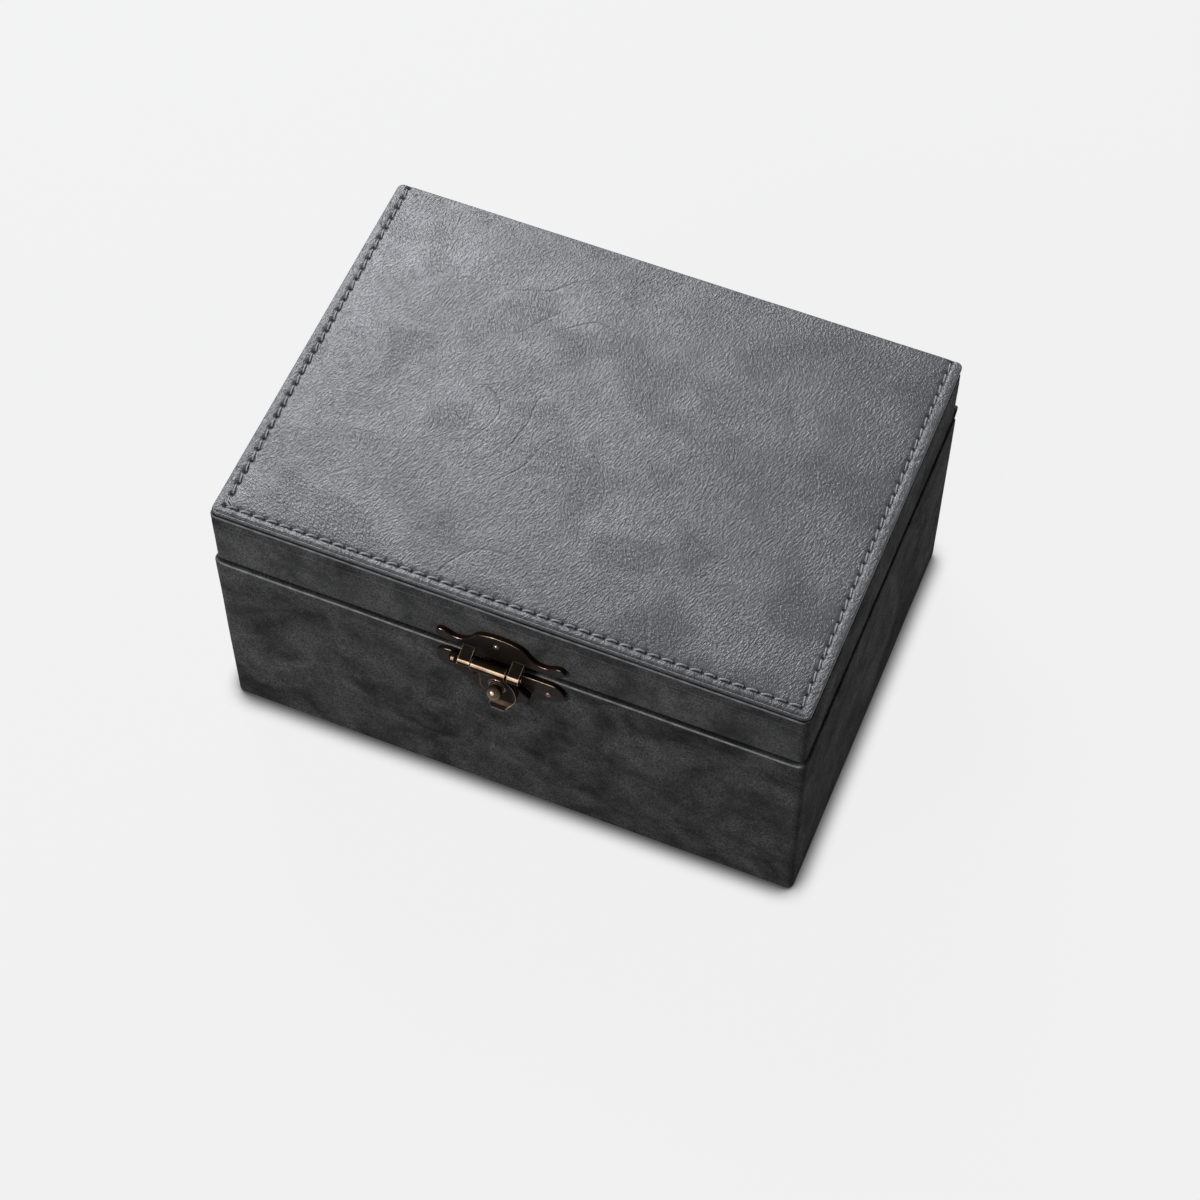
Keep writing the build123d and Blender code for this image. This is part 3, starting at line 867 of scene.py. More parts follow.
# %% The seam's route
cover_low, cover_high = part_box("lid_cover_leather")
cover_top = cover_high.z
cover_bottom = cover_low.z
seam_left, seam_right, seam_front = -72.2 * MM, 72.1 * MM, -49.8 * MM
seam_back = cover_high.y - 0.8 * MM
front_stitches, side_stitches = 42, 30
seam_sides = [
    ((seam_left, seam_back), (seam_left, seam_front), side_stitches),
    ((seam_left, seam_front), (seam_right, seam_front), front_stitches),
    ((seam_right, seam_front), (seam_right, seam_back), side_stitches),
]
pitch = (seam_right - seam_left) / front_stitches
print(front_stitches + 2 * side_stitches, "stitches,", round(pitch / MM, 2), "mm apart")

# %% How the seam presses the leather
channel_depth, channel_width = 0.14 * MM, 0.75 * MM
hole_depth, hole_radius = 0.5 * MM, 0.45 * MM
pucker_height, pucker_middle, pucker_width = 0.06 * MM, 1.4 * MM, 1.1 * MM


def seam_press(points):
    """Depth pressed by the seam and nearness to a needle hole, for points on the cover's top."""
    depth = np.zeros(len(points))
    dark = np.zeros(len(points))
    flat = points[:, :2]
    for start, end, count in seam_sides:
        start, end = np.array(start), np.array(end)
        length = np.linalg.norm(end - start)
        direction = (end - start) / length
        along = (flat - start) @ direction
        across = (flat - start) @ np.array([-direction[1], direction[0]])
        step = length / count
        from_hole = np.abs(along - np.round(along / step) * step)
        inside = (along > -step / 4) & (along < length + step / 4)
        channel = channel_depth * bell(across, channel_width)
        pit = bell(np.hypot(from_hole, across), hole_radius)
        lift = pucker_height * np.sin(np.pi * np.clip(from_hole / step, 0, 0.5)) ** 2
        margin = bell(across + pucker_middle, pucker_width)
        pressed = channel + hole_depth * pit - lift * margin
        depth = np.where(inside, np.maximum(depth, pressed) + np.minimum(pressed, 0), depth)
        dark = np.where(inside, np.maximum(dark, pit), dark)
    return depth, dark


# %% The cover's mesh
cover_outline = (cover_high.x, cover_low.y, cover_high.y, 2.0 * MM, 1.6 * MM)
samples_per_stitch = 10
coarser = 4
cover_counts = (
    coarser * round(front_stitches * samples_per_stitch * 1.02 / coarser),
    coarser * round(side_stitches * samples_per_stitch * 1.03 / coarser),
    8,
)
top_round, bottom_round = 0.38 * MM, 0.25 * MM
glued_margin = 12 * MM
seam_zone = 8.0 * MM


def cover_profile():
    """(inset, height) from the glued underside, round the side and over the top."""
    under = [(glued_margin, cover_bottom), (6 * MM, cover_bottom), (1 * MM, cover_bottom)]
    low_curve = [
        (bottom_round * (1 - math.sin(a)), cover_bottom + bottom_round * (1 - math.cos(a)))
        for a in np.radians([0, 30, 60, 90])
    ]
    high_curve = [
        (top_round * (1 - math.cos(a)), cover_top - top_round * (1 - math.sin(a)))
        for a in np.radians([0, 18, 36, 54, 72, 90])
    ]
    by_the_edge = [0.48, 0.57, 0.66, 0.75, 0.84, 0.93, 1.02, 1.12, 1.25, 1.5, 1.85]
    by_the_seam = [2.2, 2.45, 2.7, 2.9, 3.1, 3.3, 3.5, 3.75, 4.1, 4.6, 5.2, 6.2]
    margin = [(inset * MM, cover_top) for inset in by_the_edge + by_the_seam]
    return under + low_curve + high_curve + margin


def build_cover():
    rings = [at_height(ring(cover_outline, inset, cover_counts), z) for inset, z in cover_profile()]
    points, faces = loft(rings)
    along_x, along_y = cover_counts[:2]
    edge = len(points) - len(rings[0])
    wide, deep = along_x // coarser, along_y // coarser

    # the corner points of the last fine ring all lie together, so only the straight runs matter
    half = cover_high.x - seam_zone
    xs = np.linspace(-half, half, wide + 1)
    ys = np.linspace(cover_low.y + seam_zone, cover_high.y - seam_zone, deep + 1)
    grid = np.array([(x, y, cover_top) for y in ys for x in xs])
    first = len(points)
    points = np.concatenate([points, grid])

    def cell(i, j):
        return first + j * (wide + 1) + i

    for j in range(deep):
        for i in range(wide):
            faces.append((cell(i, j), cell(i + 1, j), cell(i + 1, j + 1), cell(i, j + 1)))
    walks = [
        [cell(i, 0) for i in range(wide + 1)],
        [cell(wide, j) for j in range(deep + 1)],
        [cell(i, deep) for i in range(wide, -1, -1)],
        [cell(0, j) for j in range(deep, -1, -1)],
    ]
    for begin, walk in zip(run_starts(edge, cover_counts), walks):
        for k in range(len(walk) - 1):
            fine = [begin + k * coarser + m for m in range(coarser + 1)]
            faces.append((*fine, walk[k + 1], walk[k]))
    return points, faces


cover_points, cover_faces = build_cover()
top_zone = 0.4 * MM
on_top = ramp(cover_points[:, 2], cover_top - top_zone, top_zone)
pressed, hole_shade_share = seam_press(cover_points)
from_front = cover_points[:, 1] - cover_low.y
from_back = cover_high.y - cover_points[:, 1]
from_side = cover_high.x - np.abs(cover_points[:, 0])
inset_from_edge = np.minimum(from_side, np.minimum(from_front, from_back))
crown_height, crown_from, crown_reach = 0.25 * MM, 5 * MM, 25 * MM
crown = crown_height * ramp(inset_from_edge, crown_from, crown_reach) ** 0.5


def along_front(line, width):
    """1 on a line behind the cover's front edge, falling off to both sides and to the corners."""
    return bell(from_front - line, width) * ramp(from_side, 0.6 * MM, 1.5 * MM)


bead_height, line_depth, hand_uneven = 0.05 * MM, 0.3 * MM, 0.05 * MM
edge_bead = along_front(0.48 * MM, 0.13 * MM)
pressed_line = along_front(0.93 * MM, 0.18 * MM)
front_face_shade = ramp(from_front, 0.34 * MM, -0.12 * MM)
cover_points[:, 2] += on_top * (
    crown
    - pressed
    + bead_height * edge_bead
    - line_depth * pressed_line
    + unevenness(cover_points, 9 * MM, hand_uneven)
)
# the bead's ridge line is partly rubbed dye and partly a painted highlight; pressed is painted shade
# in the pressed line and on the cover's front face, and needle is painted shade in the holes
cover = make_piece(
    "cover_leather",
    cover_points,
    cover_faces,
    leather,
    needle=hole_shade_share * on_top,
    ridge=0.55 * edge_bead * on_top,
    pressed=np.maximum(0.95 * pressed_line * on_top, 0.9 * front_face_shade),
)
face_outwards(cover)
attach(cover, "lid")
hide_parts("lid_cover_leather", "lid_cover_foam")
report(cover)

# %% [markdown]
# ## The stitches
# Each stitch is a short length of thread that rises out of one needle hole and dives into the next.
# They repeat a hundred times along the seam, so Geometry Nodes lay them. A path gives their places
# and directions, an arc swept by a circle gives the thread, and its sizes are named inputs.

# %% The stitch tree


def stitch_tree():
    tree = bpy.data.node_groups.new("stitches along a path", "GeometryNodeTree")
    tree.interface.new_socket("Path", in_out="INPUT", socket_type="NodeSocketGeometry")
    sizes = {
        "Pitch": pitch,
        "Thread Radius": 0.23 * MM,
        "Reach": 0.7,
        "Arch": 0.42 * MM,
        "Slant": 0.16,
    }
    for label, value in sizes.items():
        socket = tree.interface.new_socket(label, in_out="INPUT", socket_type="NodeSocketFloat")
        socket.default_value = value
    tree.interface.new_socket("Finish", in_out="INPUT", socket_type="NodeSocketMaterial")
    tree.interface.new_socket("Stitches", in_out="OUTPUT", socket_type="NodeSocketGeometry")
    given = node(tree, "NodeGroupInput")
    result = node(tree, "NodeGroupOutput")

    route = node(tree, "GeometryNodeMeshToCurve")
    link(tree, given.outputs["Path"], route.inputs["Mesh"])
    places = node(tree, "GeometryNodeCurveToPoints", mode="LENGTH")
    link(tree, route.outputs["Curve"], places.inputs["Curve"])
    link(tree, given.outputs["Pitch"], places.inputs["Length"])

    half = combine(tree, "MULTIPLY", given.outputs["Pitch"], given.outputs["Reach"])
    half = combine(tree, "MULTIPLY", half, 0.5)
    back = combine(tree, "MULTIPLY", half, -1)
    rise = combine(tree, "MULTIPLY", given.outputs["Arch"], 2.0)
    arc = node(tree, "GeometryNodeCurveQuadraticBezier")
    arc.inputs["Resolution"].default_value = 7
    for label, axis, length in (("Start", "X", back), ("Middle", "Z", rise), ("End", "X", half)):
        end = node(tree, "ShaderNodeCombineXYZ")
        link(tree, length, end.inputs[axis])
        link(tree, end.outputs[0], arc.inputs[label])
    circle = node(tree, "GeometryNodeCurvePrimitiveCircle")
    circle.inputs["Resolution"].default_value = 8
    link(tree, given.outputs["Thread Radius"], circle.inputs["Radius"])
    strand = node(tree, "GeometryNodeCurveToMesh")
    strand.inputs["Fill Caps"].default_value = True
    link(tree, arc.outputs[0], strand.inputs["Curve"])
    link(tree, circle.outputs[0], strand.inputs["Profile Curve"])

    turn = node(tree, "FunctionNodeAlignRotationToVector", axis="X")
    link(tree, places.outputs["Tangent"], turn.inputs["Vector"])
    sway = node(tree, "FunctionNodeRandomValue", data_type="FLOAT")
    sway.inputs[2].default_value = -0.05
    sway.inputs[3].default_value = 0.05
    sway.inputs["Seed"].default_value = 7
    yaw = node(tree, "ShaderNodeCombineXYZ")
    slant = combine(tree, "ADD", given.outputs["Slant"], sway.outputs[1])
    link(tree, slant, yaw.inputs["Z"])
    yawed = node(tree, "FunctionNodeRotateRotation", rotation_space="LOCAL")
    link(tree, turn.outputs[0], yawed.inputs[0])
    link(tree, yaw.outputs[0], yawed.inputs[1])
    laid = node(tree, "GeometryNodeInstanceOnPoints")
    link(tree, places.outputs["Points"], laid.inputs["Points"])
    link(tree, strand.outputs[0], laid.inputs["Instance"])
    link(tree, yawed.outputs[0], laid.inputs["Rotation"])
    real = node(tree, "GeometryNodeRealizeInstances")
    link(tree, laid.outputs[0], real.inputs[0])
    finished = node(tree, "GeometryNodeSetMaterial")
    link(tree, real.outputs[0], finished.inputs["Geometry"])
    link(tree, given.outputs["Finish"], finished.inputs["Material"])
    link(tree, finished.outputs[0], result.inputs["Stitches"])
    return tree


def grow(piece, tree, **values):
    """Run a Geometry Nodes tree on a piece with named inputs, and keep the plain mesh it makes."""
    modifier = piece.modifiers.new(tree.name, "NODES")
    modifier.node_group = tree
    for item in tree.interface.items_tree:
        if item.item_type == "SOCKET" and item.in_out == "INPUT" and item.name in values:
            modifier[item.identifier] = values[item.name]
    keep_result(piece, modifier)
    piece.data.shade_smooth()


# %% Lay the stitches
thread_seat = cover_top - channel_depth - 0.1 * MM


def seam_path():
    """One straight edge for each sewn side, from its first stitch's middle to its last one's.

    Two short edges across the front left corner lay the back stitches that fasten the thread.
    """
    points, edges = [], []
    for start, end, count in seam_sides:
        start, end = np.array(start), np.array(end)
        step = (end - start) / count
        for place in (start + step * 0.5, end - step * 0.45):
            points.append((*place, thread_seat))
        edges.append((len(points) - 2, len(points) - 1))
    for reach, lift in ((0.95 * MM, 0.25 * MM), (0.45 * MM, 0.1 * MM)):
        first = (seam_left + reach, seam_front + reach, thread_seat + lift)
        points += [first, (first[0] + 0.5 * MM, first[1] - 0.5 * MM, first[2])]
        edges.append((len(points) - 2, len(points) - 1))
    mesh = bpy.data.meshes.new("seam path")
    mesh.from_pydata(points, edges, [])
    return mesh


stitches = add_object("cover_stitches", seam_path())
grow(stitches, stitch_tree(), Finish=thread)
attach(stitches, "lid")
report(stitches)

# %% [markdown]
# ## The leather round the walls
# The base and the lid's rim are each wrapped in one strip of leather that runs round the walls,
# meets itself at the back, rolls over the boards' edges and is glued down inside and underneath. A
# stack of rings gives that path, and Solidify gives the leather its thickness. Where a hand has
# pulled it tight it is a little uneven, which shows in the way light slides over it.

# %% Rolled edges


def rolled(inset, height, radius, start, end, worn):
    """Part of a rolled edge: (inset, height, wear) on an arc, with one step for each wear value."""
    # each wear value is the share of a light line that is partly wear and partly a painted highlight
    angles = np.radians(np.linspace(start, end, len(worn)))
    return [
        (inset - radius * math.cos(a), height + radius * math.sin(a), ridge)
        for a, ridge in zip(angles, worn)
    ]


def steps_between(low, high, spacing):
    count = max(2, round(abs(high - low) / spacing) + 1)
    return list(np.linspace(low, high, count))


# %% The base's leather
wrap_low, wrap_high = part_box("base_leather_wrap")
wall_outline = (wrap_high.x, wrap_low.y, wrap_high.y, 1.8 * MM, 0.5 * MM)
wall_counts = (150, 106, 7)
rim_roll, foot_roll = 0.7 * MM, 0.9 * MM
leather_thickness = 0.75 * MM
inner_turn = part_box("base_left_board")[1].x
base_turn_in = wrap_high.x + inner_turn


def base_wrap_profile():
    """(inset, height) from the inner edge of the rim, over it, down the wall and in underneath."""
    top, foot = wrap_high.z, wrap_low.z
    # the third value is the share of the ridge's light line, partly wear and partly a painted
    # highlight
    rim = [(base_turn_in, top, 0), (base_turn_in * 0.6, top, 0), (1.4 * MM, top, 0)]
    over = rolled(rim_roll, top - rim_roll, rim_roll, 90, 0, (0, 0, 0.12, 0.9, 0.75, 0.1, 0))
    heights = steps_between(top - rim_roll - 0.6 * MM, foot + foot_roll + 0.6 * MM, 1.5 * MM)
    wall = [(0, z, 0) for z in heights]
    under = rolled(foot_roll, foot + foot_roll, foot_roll, 0, -90, (0, 0.15, 0.2, 0.1, 0))
    return rim + over + wall + under + [(3 * MM, foot, 0), (glued_margin, foot, 0)]


def wall_skin(name, outline, profile, shape_more=None):
    """A closed strip of leather from a profile, with the slight unevenness of hand work."""
    rings = [at_height(ring(outline, inset, wall_counts), z) for inset, z, _ in profile]
    points, faces = loft(rings[::-1])
    worn = np.repeat([ridge for _, _, ridge in profile[::-1]], len(rings[0]))
    beside = np.abs(points[:, 0]) > outline[0] - 2 * MM
    before = points[:, 1] < outline[1] + 2 * MM
    away = np.column_stack([beside * np.sign(points[:, 0]), -1.0 * before, np.zeros(len(points))])
    points += away * unevenness(points, 11 * MM, hand_uneven)[:, None]
    if shape_more:
        shape_more(points)
    # the ridge line, partly wear and partly a painted highlight, is strongest along the front, and
    # less at the corners, the sides and the back
    at_front = ramp(points[:, 1], outline[1] + 2.6 * MM, -1.2 * MM, 0.12)
    at_front *= ramp(np.abs(points[:, 0]), outline[0] - 0.5 * MM, -1.5 * MM, 0.15)
    worn = worn * at_front * (0.8 + unevenness(points, 1.3 * MM, 0.3))
    insets = np.repeat([inset for inset, _, _ in profile[::-1]], len(rings[0]))
    # painted shade on the flats turned in at the top and the foot, such as the base's rim top under
    # the lid
    turned_in_shade = 0.75 * ramp(insets, 0.6 * MM, 0.3 * MM)
    piece = make_piece(name, points, faces, wall_leather, ridge=np.clip(worn, 0, 1), pressed=turned_in_shade)
    return thicken(piece, leather_thickness)


slot_length = 10 * MM


def close_split(points, outline, edge, reach, up):
    """Square up a rolled edge along the sides and push it towards the split line by up.

    A short slot stays open on each side, just behind the front corner.
    """
    near_edge = ramp(np.abs(points[:, 2] - edge), reach, -reach) ** 0.5
    beside = ramp(np.abs(points[:, 0]), outline[0] - 3 * MM, 2 * MM)
    behind = ramp(points[:, 1], outline[1] + slot_length, 8 * MM)
    share = near_edge * beside * behind
    inset = outline[0] - np.abs(points[:, 0])
    points[:, 0] += np.sign(points[:, 0]) * share * 0.65 * np.clip(inset, 0, 0.7 * MM)
    points[:, 2] += up * share


gathered = 0.8 * MM


def shape_rim(points):
    """Gather the leather at the rim's front corners, and let it stand up along the sides."""
    top = wrap_high.z
    near_top = ramp(points[:, 2], top - 1.6 * MM, 1.4 * MM)
    for side in (-1, 1):
        corner = np.array([side * (wrap_high.x - 1.0 * MM), wrap_low.y + 1.0 * MM])
        distance = np.linalg.norm(points[:, :2] - corner, axis=1)
        points[:, 2] += near_top * gathered * bell(distance, 1.5 * MM)
    close_split(points, wall_outline, top, 1.4 * MM, 0.85 * MM)


base_skin = wall_skin("base_leather", wall_outline, base_wrap_profile(), shape_rim)
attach(base_skin, "base")
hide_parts("base_leather_wrap")
report(base_skin)

# %% The rim's leather
rim_low, rim_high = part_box("lid_rim_leather")
rim_outline = (rim_high.x, rim_low.y, rim_high.y, 1.8 * MM, 0.5 * MM)
rim_turn_in = rim_high.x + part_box("lid_left_board")[1].x


def rim_profile():
    """(inset, height) from under the cover, over the shoulder, down and in under the rim."""
    top, foot = rim_high.z, rim_low.z
    bead, lip, groove = 0.33 * MM, 0.5 * MM, top - 0.4 * MM
    # the third value is the share of the ridge's light line, partly wear and partly a painted
    # highlight
    above = [(glued_margin, groove, 0), (3 * MM, groove, 0), (0.85 * MM, groove, 0)]
    over = rolled(bead, top - bead, bead, 165, 0, (0, 0.05, 0.3, 0.9, 0.8, 0.3, 0))
    board_edge = top - 3.5 * MM
    upper = [(0, top - bead - 0.4 * MM, 0), (0, board_edge + 0.8 * MM, 0)]
    step = [
        (0, board_edge + 0.3 * MM, 0),
        (-0.06 * MM, board_edge, 0.13),
        (-0.06 * MM, board_edge - 0.4 * MM, 0),
    ]
    heights = steps_between(board_edge - 1.2 * MM, foot + lip + 0.5 * MM, 1.3 * MM)
    wall = upper + step + [(-0.03 * MM * (z > board_edge - 4 * MM), z, 0.035) for z in heights]
    under = rolled(lip, foot + lip, lip, 0, -90, (0, 0.2, 0.3, 0.1, 0))
    return above + over + wall + under + [(1.5 * MM, foot, 0), (rim_turn_in, foot, 0)]


rim_skin = wall_skin(
    "lid_rim_skin",
    rim_outline,
    rim_profile(),
    lambda points: close_split(points, rim_outline, rim_low.z, 1.2 * MM, 0),
)
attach(rim_skin, "lid")
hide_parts("lid_rim_leather")
report(rim_skin)

# %% [markdown]
# ## The back and the spine
# One piece of leather comes off the cover's back edge, leans in to the rim, bulges out where the
# box opens and runs down the base. It is one piece on the real box and three here: the two ends
# are glued to the lid and to the base, and the strip between them is left on its own.

# %% A strip along X from a side view
end_length, end_inset = 0.25 * MM, 0.15 * MM


def strip_along_x(name, outline, half_width, finish, spacing=1.5 * MM):
    """A closed side view, as (y, z) points, run along X with soft ends."""
    xs = np.linspace(-half_width, half_width, max(2, round(2 * half_width / spacing)))
    xs = np.sort(np.concatenate([xs, [-half_width + end_length, half_width - end_length]]))
    side = np.array(outline)
    ahead = np.roll(side, -1, axis=0)
    around = ahead - np.roll(side, 1, axis=0)
    around /= np.linalg.norm(around, axis=1, keepdims=True)
    turns_left = np.sign(np.sum(side[:, 0] * ahead[:, 1] - ahead[:, 0] * side[:, 1]))
    inwards = turns_left * np.column_stack([-around[:, 1], around[:, 0]])
    rings = []
    for x in xs:
        at_end = 1 - ramp(half_width - abs(x), 0, end_length)
        rings.append(np.column_stack([np.full(len(side), x), side + end_inset * at_end * inwards]))
    points, faces = loft(rings)
    count = len(side)
    faces.append(tuple(range(count)))
    faces.append(tuple(range(len(points) - 1, len(points) - count - 1, -1)))
    piece = make_piece(name, points, faces, finish)
    face_outwards(piece)
    return piece


def smooth_line(knots, steps):
    """Points on a smooth curve through knots, by Catmull-Rom."""
    knots = np.array(knots)
    padded = np.concatenate([[2 * knots[0] - knots[1]], knots, [2 * knots[-1] - knots[-2]]])
    out = []
    for a, b, c, d in zip(padded, padded[1:], padded[2:], padded[3:]):
        for t in np.linspace(0, 1, steps, endpoint=False):
            out.append(
                0.5 * (2 * b + (c - a) * t + (2 * a - 5 * b + 4 * c - d) * t**2
                       + (3 * b - a - 3 * c + d) * t**3)
            )
    out.append(knots[-1])
    return np.array(out)


# %% The three parts of the back
back_low, back_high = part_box("base_back_leather")
slope_low, slope_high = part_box("lid_back_leather")
fold_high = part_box("spine_fold")[1]
fold_height = (back_high.z + slope_low.z) / 2
fold_out = fold_high.y - 0.05 * MM
skin_thin = back_high.y - back_low.y


def closed_strip(outer, thickness):
    """A side view of a strip from its outer line, with an even thickness inwards."""
    outer = np.array(outer)
    ahead = np.gradient(outer, axis=0)
    ahead /= np.linalg.norm(ahead, axis=1, keepdims=True)
    inner = outer + thickness * np.column_stack([-ahead[:, 1], ahead[:, 0]])
    return np.concatenate([outer, inner[::-1]])


base_back_line = [(back_high.y, z) for z in steps_between(back_low.z, back_high.z, 2 * MM)]
base_back_line[0] = (back_high.y - 0.3 * MM, back_low.z)
base_back_line.insert(1, (back_high.y - 0.05 * MM, back_low.z + 0.4 * MM))
base_back = strip_along_x(
    "base_back_skin", closed_strip(base_back_line, skin_thin * 0.95), back_high.x, wall_leather
)
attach(base_back, "base")
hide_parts("base_back_leather")

slope_line = [
    (slope_low.y + skin_thin, slope_low.z),
    (slope_low.y + skin_thin + 0.15 * MM, slope_low.z + 4 * MM),
    (slope_high.y - 0.9 * MM, slope_high.z - 4 * MM),
    (slope_high.y - 0.1 * MM, slope_high.z),
]
slope_side = [*smooth_line(slope_line, 4), (slope_low.y, slope_high.z), (slope_low.y, slope_low.z)]
lid_back = strip_along_x("lid_back_skin", slope_side, slope_high.x, wall_leather)
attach(lid_back, "lid")
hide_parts("lid_back_leather")

# the bulge's own shape: how far out it is, as a share, and how high above its middle
bulge = [(0.5, -1.9 * MM), (0.92, -0.9 * MM), (1, 0.1 * MM), (0.88, 1.1 * MM), (0.5, 2.0 * MM)]
fold_line = smooth_line(
    [
        (back_high.y, back_high.z - 0.1 * MM),
        *[(back_high.y + out * (fold_out - back_high.y), fold_height + up) for out, up in bulge],
        (slope_low.y + skin_thin, slope_low.z),
    ],
    6,
)
spine_reach = fold_high.x + 0.55 * MM
spine_side = closed_strip(fold_line, skin_thin * 0.9)
spine = strip_along_x("back_spine", spine_side, spine_reach, wall_leather)
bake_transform(spine)
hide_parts("spine_fold")
for piece in (base_back, lid_back, spine):
    report(piece)

# %% [markdown]
# ## The lining and the pads
# Inside, four panels of velvet on card stand round the walls and rise above the rim as a neck that
# the lid closes over. A padded floor and a padded ceiling panel are crowned by the foam under
# their velvet. Outside the neck and inside the lid shows the silvery shielding cloth.

# %% A soft slab of any direction


def soft_slab(name, node_name, finish, thin_axis, edge, counts, grow_to=1.0):
    """A slab with rounded edges in the place of a solid, lying across its thin axis.

    grow_to below 1 makes it thinner, from the low side, to leave room for wadding.
    """
    low, high = (np.array(corner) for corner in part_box(node_name))
    wide_axis, tall_axis = [axis for axis in (0, 1, 2) if axis != thin_axis]
    half = (high[wide_axis] - low[wide_axis]) / 2
    outline = (half, low[tall_axis], high[tall_axis], 1.2 * edge, 1.2 * edge)
    bottom, top = low[thin_axis], low[thin_axis] + (high[thin_axis] - low[thin_axis]) * grow_to
    curve = np.radians([0, 30, 60, 90])
    profile = [(edge * 1.3, bottom)]
    profile += [(edge * (1 - math.sin(a)), bottom + edge * (1 - math.cos(a))) for a in curve]
    profile += [(edge * (1 - math.cos(a)), top - edge * (1 - math.sin(a))) for a in curve]
    profile += [(edge * 1.3, top)]
    rings = [at_height(ring(outline, inset, counts), z) for inset, z in profile]
    points, faces = loft(rings)
    last = len(points) - len(rings[0])
    points = fill_middle(points, faces, last, counts, True)
    points = fill_middle(points, faces, 0, counts, False)
    placed = np.empty_like(points)
    placed[:, wide_axis] = points[:, 0] + (high[wide_axis] + low[wide_axis]) / 2
    placed[:, tall_axis] = points[:, 1]
    placed[:, thin_axis] = points[:, 2]
    if thin_axis == 1:
        faces = [face[::-1] for face in faces]
    return make_piece(name, placed, faces, finish)


# %% The four wall panels and the felt
for side, thin_axis in (("front", 1), ("back", 1), ("left", 0), ("right", 0)):
    node_name = f"base_lining_{side}"
    panel = soft_slab(f"{side}_panel_velvet", node_name, velvet, thin_axis, 0.5 * MM, (36, 20, 3))
    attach(panel, "base")
    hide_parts(node_name)
    report(panel)

underside = soft_slab("underside_felt", "base_underside_felt", felt, 2, 0.2 * MM, (40, 28, 4))
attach(underside, "base")
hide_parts("base_underside_felt")
report(underside)

# %% [markdown]
# ### Pads blown up as cloth
# The wadding under the velvet pushes it up most where it is furthest from the glued edge. A cloth
# simulation with a little pressure inside finds that shape: the side that is glued to its card is
# held, gravity is off because wadding is far stiffer than its own weight, and a soft limit keeps
# the pad within the room that it has.

# %% Swell a pad
glued_depth = 0.3 * MM
last_frame = 20


def swell_pad(piece, glued_side, limit):
    """Run a short cloth simulation with pressure on a pad, and keep its shape."""
    mesh = piece.data
    before = np.empty(len(mesh.vertices) * 3)
    mesh.vertices.foreach_get("co", before)
    before = before.reshape(-1, 3)
    level = before[:, 2]
    if glued_side == "low":
        glued = level < level.min() + glued_depth
    else:
        glued = level > level.max() - glued_depth
    held = piece.vertex_groups.new(name="glued")
    held.add([int(i) for i in np.nonzero(glued)[0]], 1.0, "REPLACE")
    cloth = piece.modifiers.new("wadding", "CLOTH")
    cloth.settings.use_pressure = True
    cloth.settings.uniform_pressure_force = 4
    cloth.settings.vertex_group_mass = "glued"
    cloth.settings.effector_weights.gravity = 0
    cloth.settings.quality = 5
    cloth.collision_settings.use_collision = False
    scene = bpy.context.scene
    for step in range(1, last_frame + 1):
        scene.frame_set(step)
    evaluated = piece.evaluated_get(bpy.context.evaluated_depsgraph_get())
    after = np.empty(len(mesh.vertices) * 3)
    evaluated.data.vertices.foreach_get("co", after)
    move = after.reshape(-1, 3) - before
    piece.modifiers.remove(cloth)
    piece.vertex_groups.clear()
    scene.frame_set(1)
    length = np.linalg.norm(move, axis=1, keepdims=True)
    move *= limit * np.tanh(length / limit) / np.maximum(length, 1e-9)
    mesh.vertices.foreach_set("co", (before + move).ravel())
    print(f"{piece.name}: cloth moved {length.max() / MM:.2f} mm, kept {limit / MM:.2f} mm at most")


def finish_pad(piece):
    """One subdivision, kept in the mesh."""
    smooth = piece.modifiers.new("smooth", "SUBSURF")
    smooth.levels = smooth.render_levels = 1
    keep_result(piece, smooth)
    piece.data.shade_smooth()


# %% The floor pad and the ceiling panel
floor_pad = soft_slab("floor_pad_velvet", "base_floor_pad", velvet, 2, 0.7 * MM, (56, 38, 3), 0.68)
ceiling_pad = soft_slab("ceiling_pad_velvet", "lid_lining_panel", velvet, 2, 0.6 * MM, (56, 38, 3))
swell_pad(floor_pad, "low", 0.9 * MM)
swell_pad(ceiling_pad, "high", 0.5 * MM)
for pad, body, node_name in (
    (floor_pad, "base", "base_floor_pad"),
    (ceiling_pad, "lid", "lid_lining_panel"),
):
    finish_pad(pad)
    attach(pad, body)
    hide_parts(node_name)
    report(pad)

# %% [markdown]
# ### The shielding cloth
# The cloth that stops radio waves is silvered and woven. It makes a tray that stands up round the
# lining, and a cap in the lid that comes down over it. Both are one sheet folded at its corners.

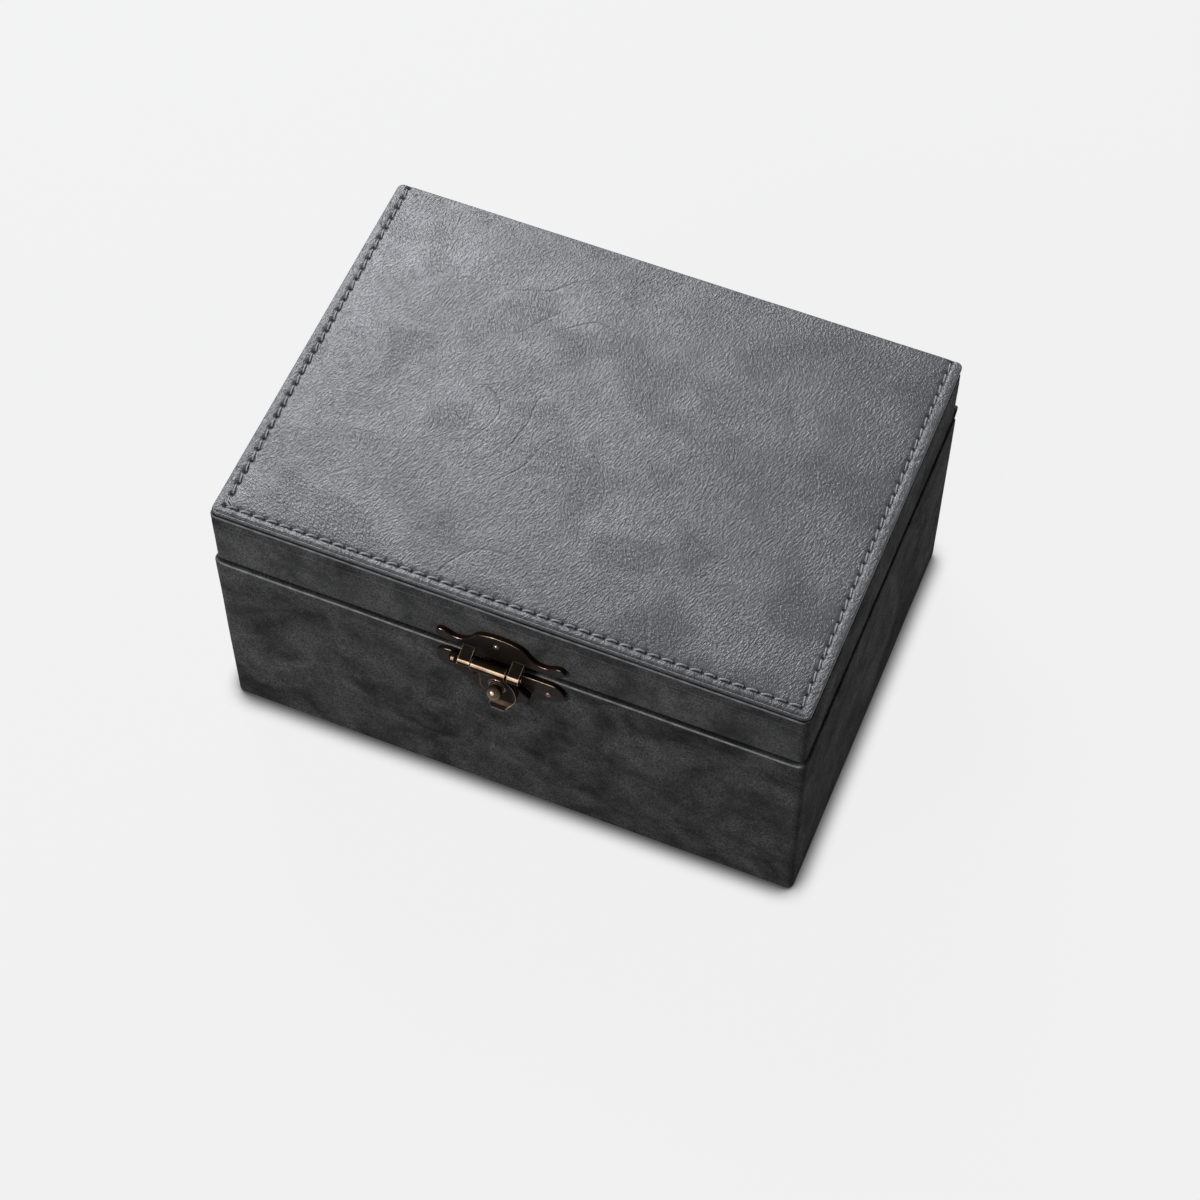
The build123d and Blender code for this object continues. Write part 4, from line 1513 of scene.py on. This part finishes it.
# %% Tray and cap
cloth_thickness = 0.3 * MM


def cloth_box(name, node_name, heights, floor_at_bottom):
    """An open box of cloth in the place of a solid, its outer faces where the solid's are."""
    low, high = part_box(node_name)
    outline = (high.x, low.y, high.y, 0.6 * MM, 0.6 * MM)
    counts = (48, 34, 4)
    lip = 0.25 * MM
    walls = [(0, z) for z in heights]
    if floor_at_bottom:
        profile = [(0.9 * MM, low.z), (lip, low.z), (0, low.z + lip)] + walls
    else:
        profile = walls + [(0, high.z - lip), (lip, high.z), (0.9 * MM, high.z)]
    rings = [at_height(ring(outline, inset, counts), z) for inset, z in profile]
    points, faces = loft(rings)
    first = 0 if floor_at_bottom else len(points) - len(rings[0])
    points = fill_middle(points, faces, first, counts, not floor_at_bottom)
    piece = make_piece(name, points, faces, shield_cloth)
    return thicken(piece, cloth_thickness)


tray_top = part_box("base_shield_liner")[1].z
tray = cloth_box("shield_tray", "base_shield_liner", steps_between(7 * MM, tray_top, 4 * MM), True)
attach(tray, "base")
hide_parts("base_shield_liner")
cap_low, cap_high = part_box("lid_shield_liner")
cap_heights = steps_between(cap_low.z, cap_high.z - 1.5 * MM, 2 * MM)
cap = cloth_box("shield_cap", "lid_shield_liner", cap_heights, False)
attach(cap, "lid")
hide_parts("lid_shield_liner")
for piece in (tray, cap):
    report(piece)

# %% [markdown]
# ## The metalwork and the boards
# The latch's solids already have their real shape, so they keep it and only get their finish. The
# boards are hidden in a shut box, but they are finished as raw fibreboard all the same.

# %% Finishes for the model's own solids
cad_finishes = {
    bronze: [
        "latch_upper_plate",
        "latch_lower_plate",
        "latch_hinge_pin",
        "latch_hasp",
        "latch_cam",
    ],
    rubbed_bronze: ["latch_knob", "latch_bush"],
    nail_brass: ["latch_upper_nail", "latch_lower_nails"],
    fibreboard: [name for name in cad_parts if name.endswith("_board")],
}
for finish, names in cad_finishes.items():
    for name in names:
        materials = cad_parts[name].data.materials
        materials.clear()
        materials.append(finish)
    print(finish.name, "on", len(names), "solids")
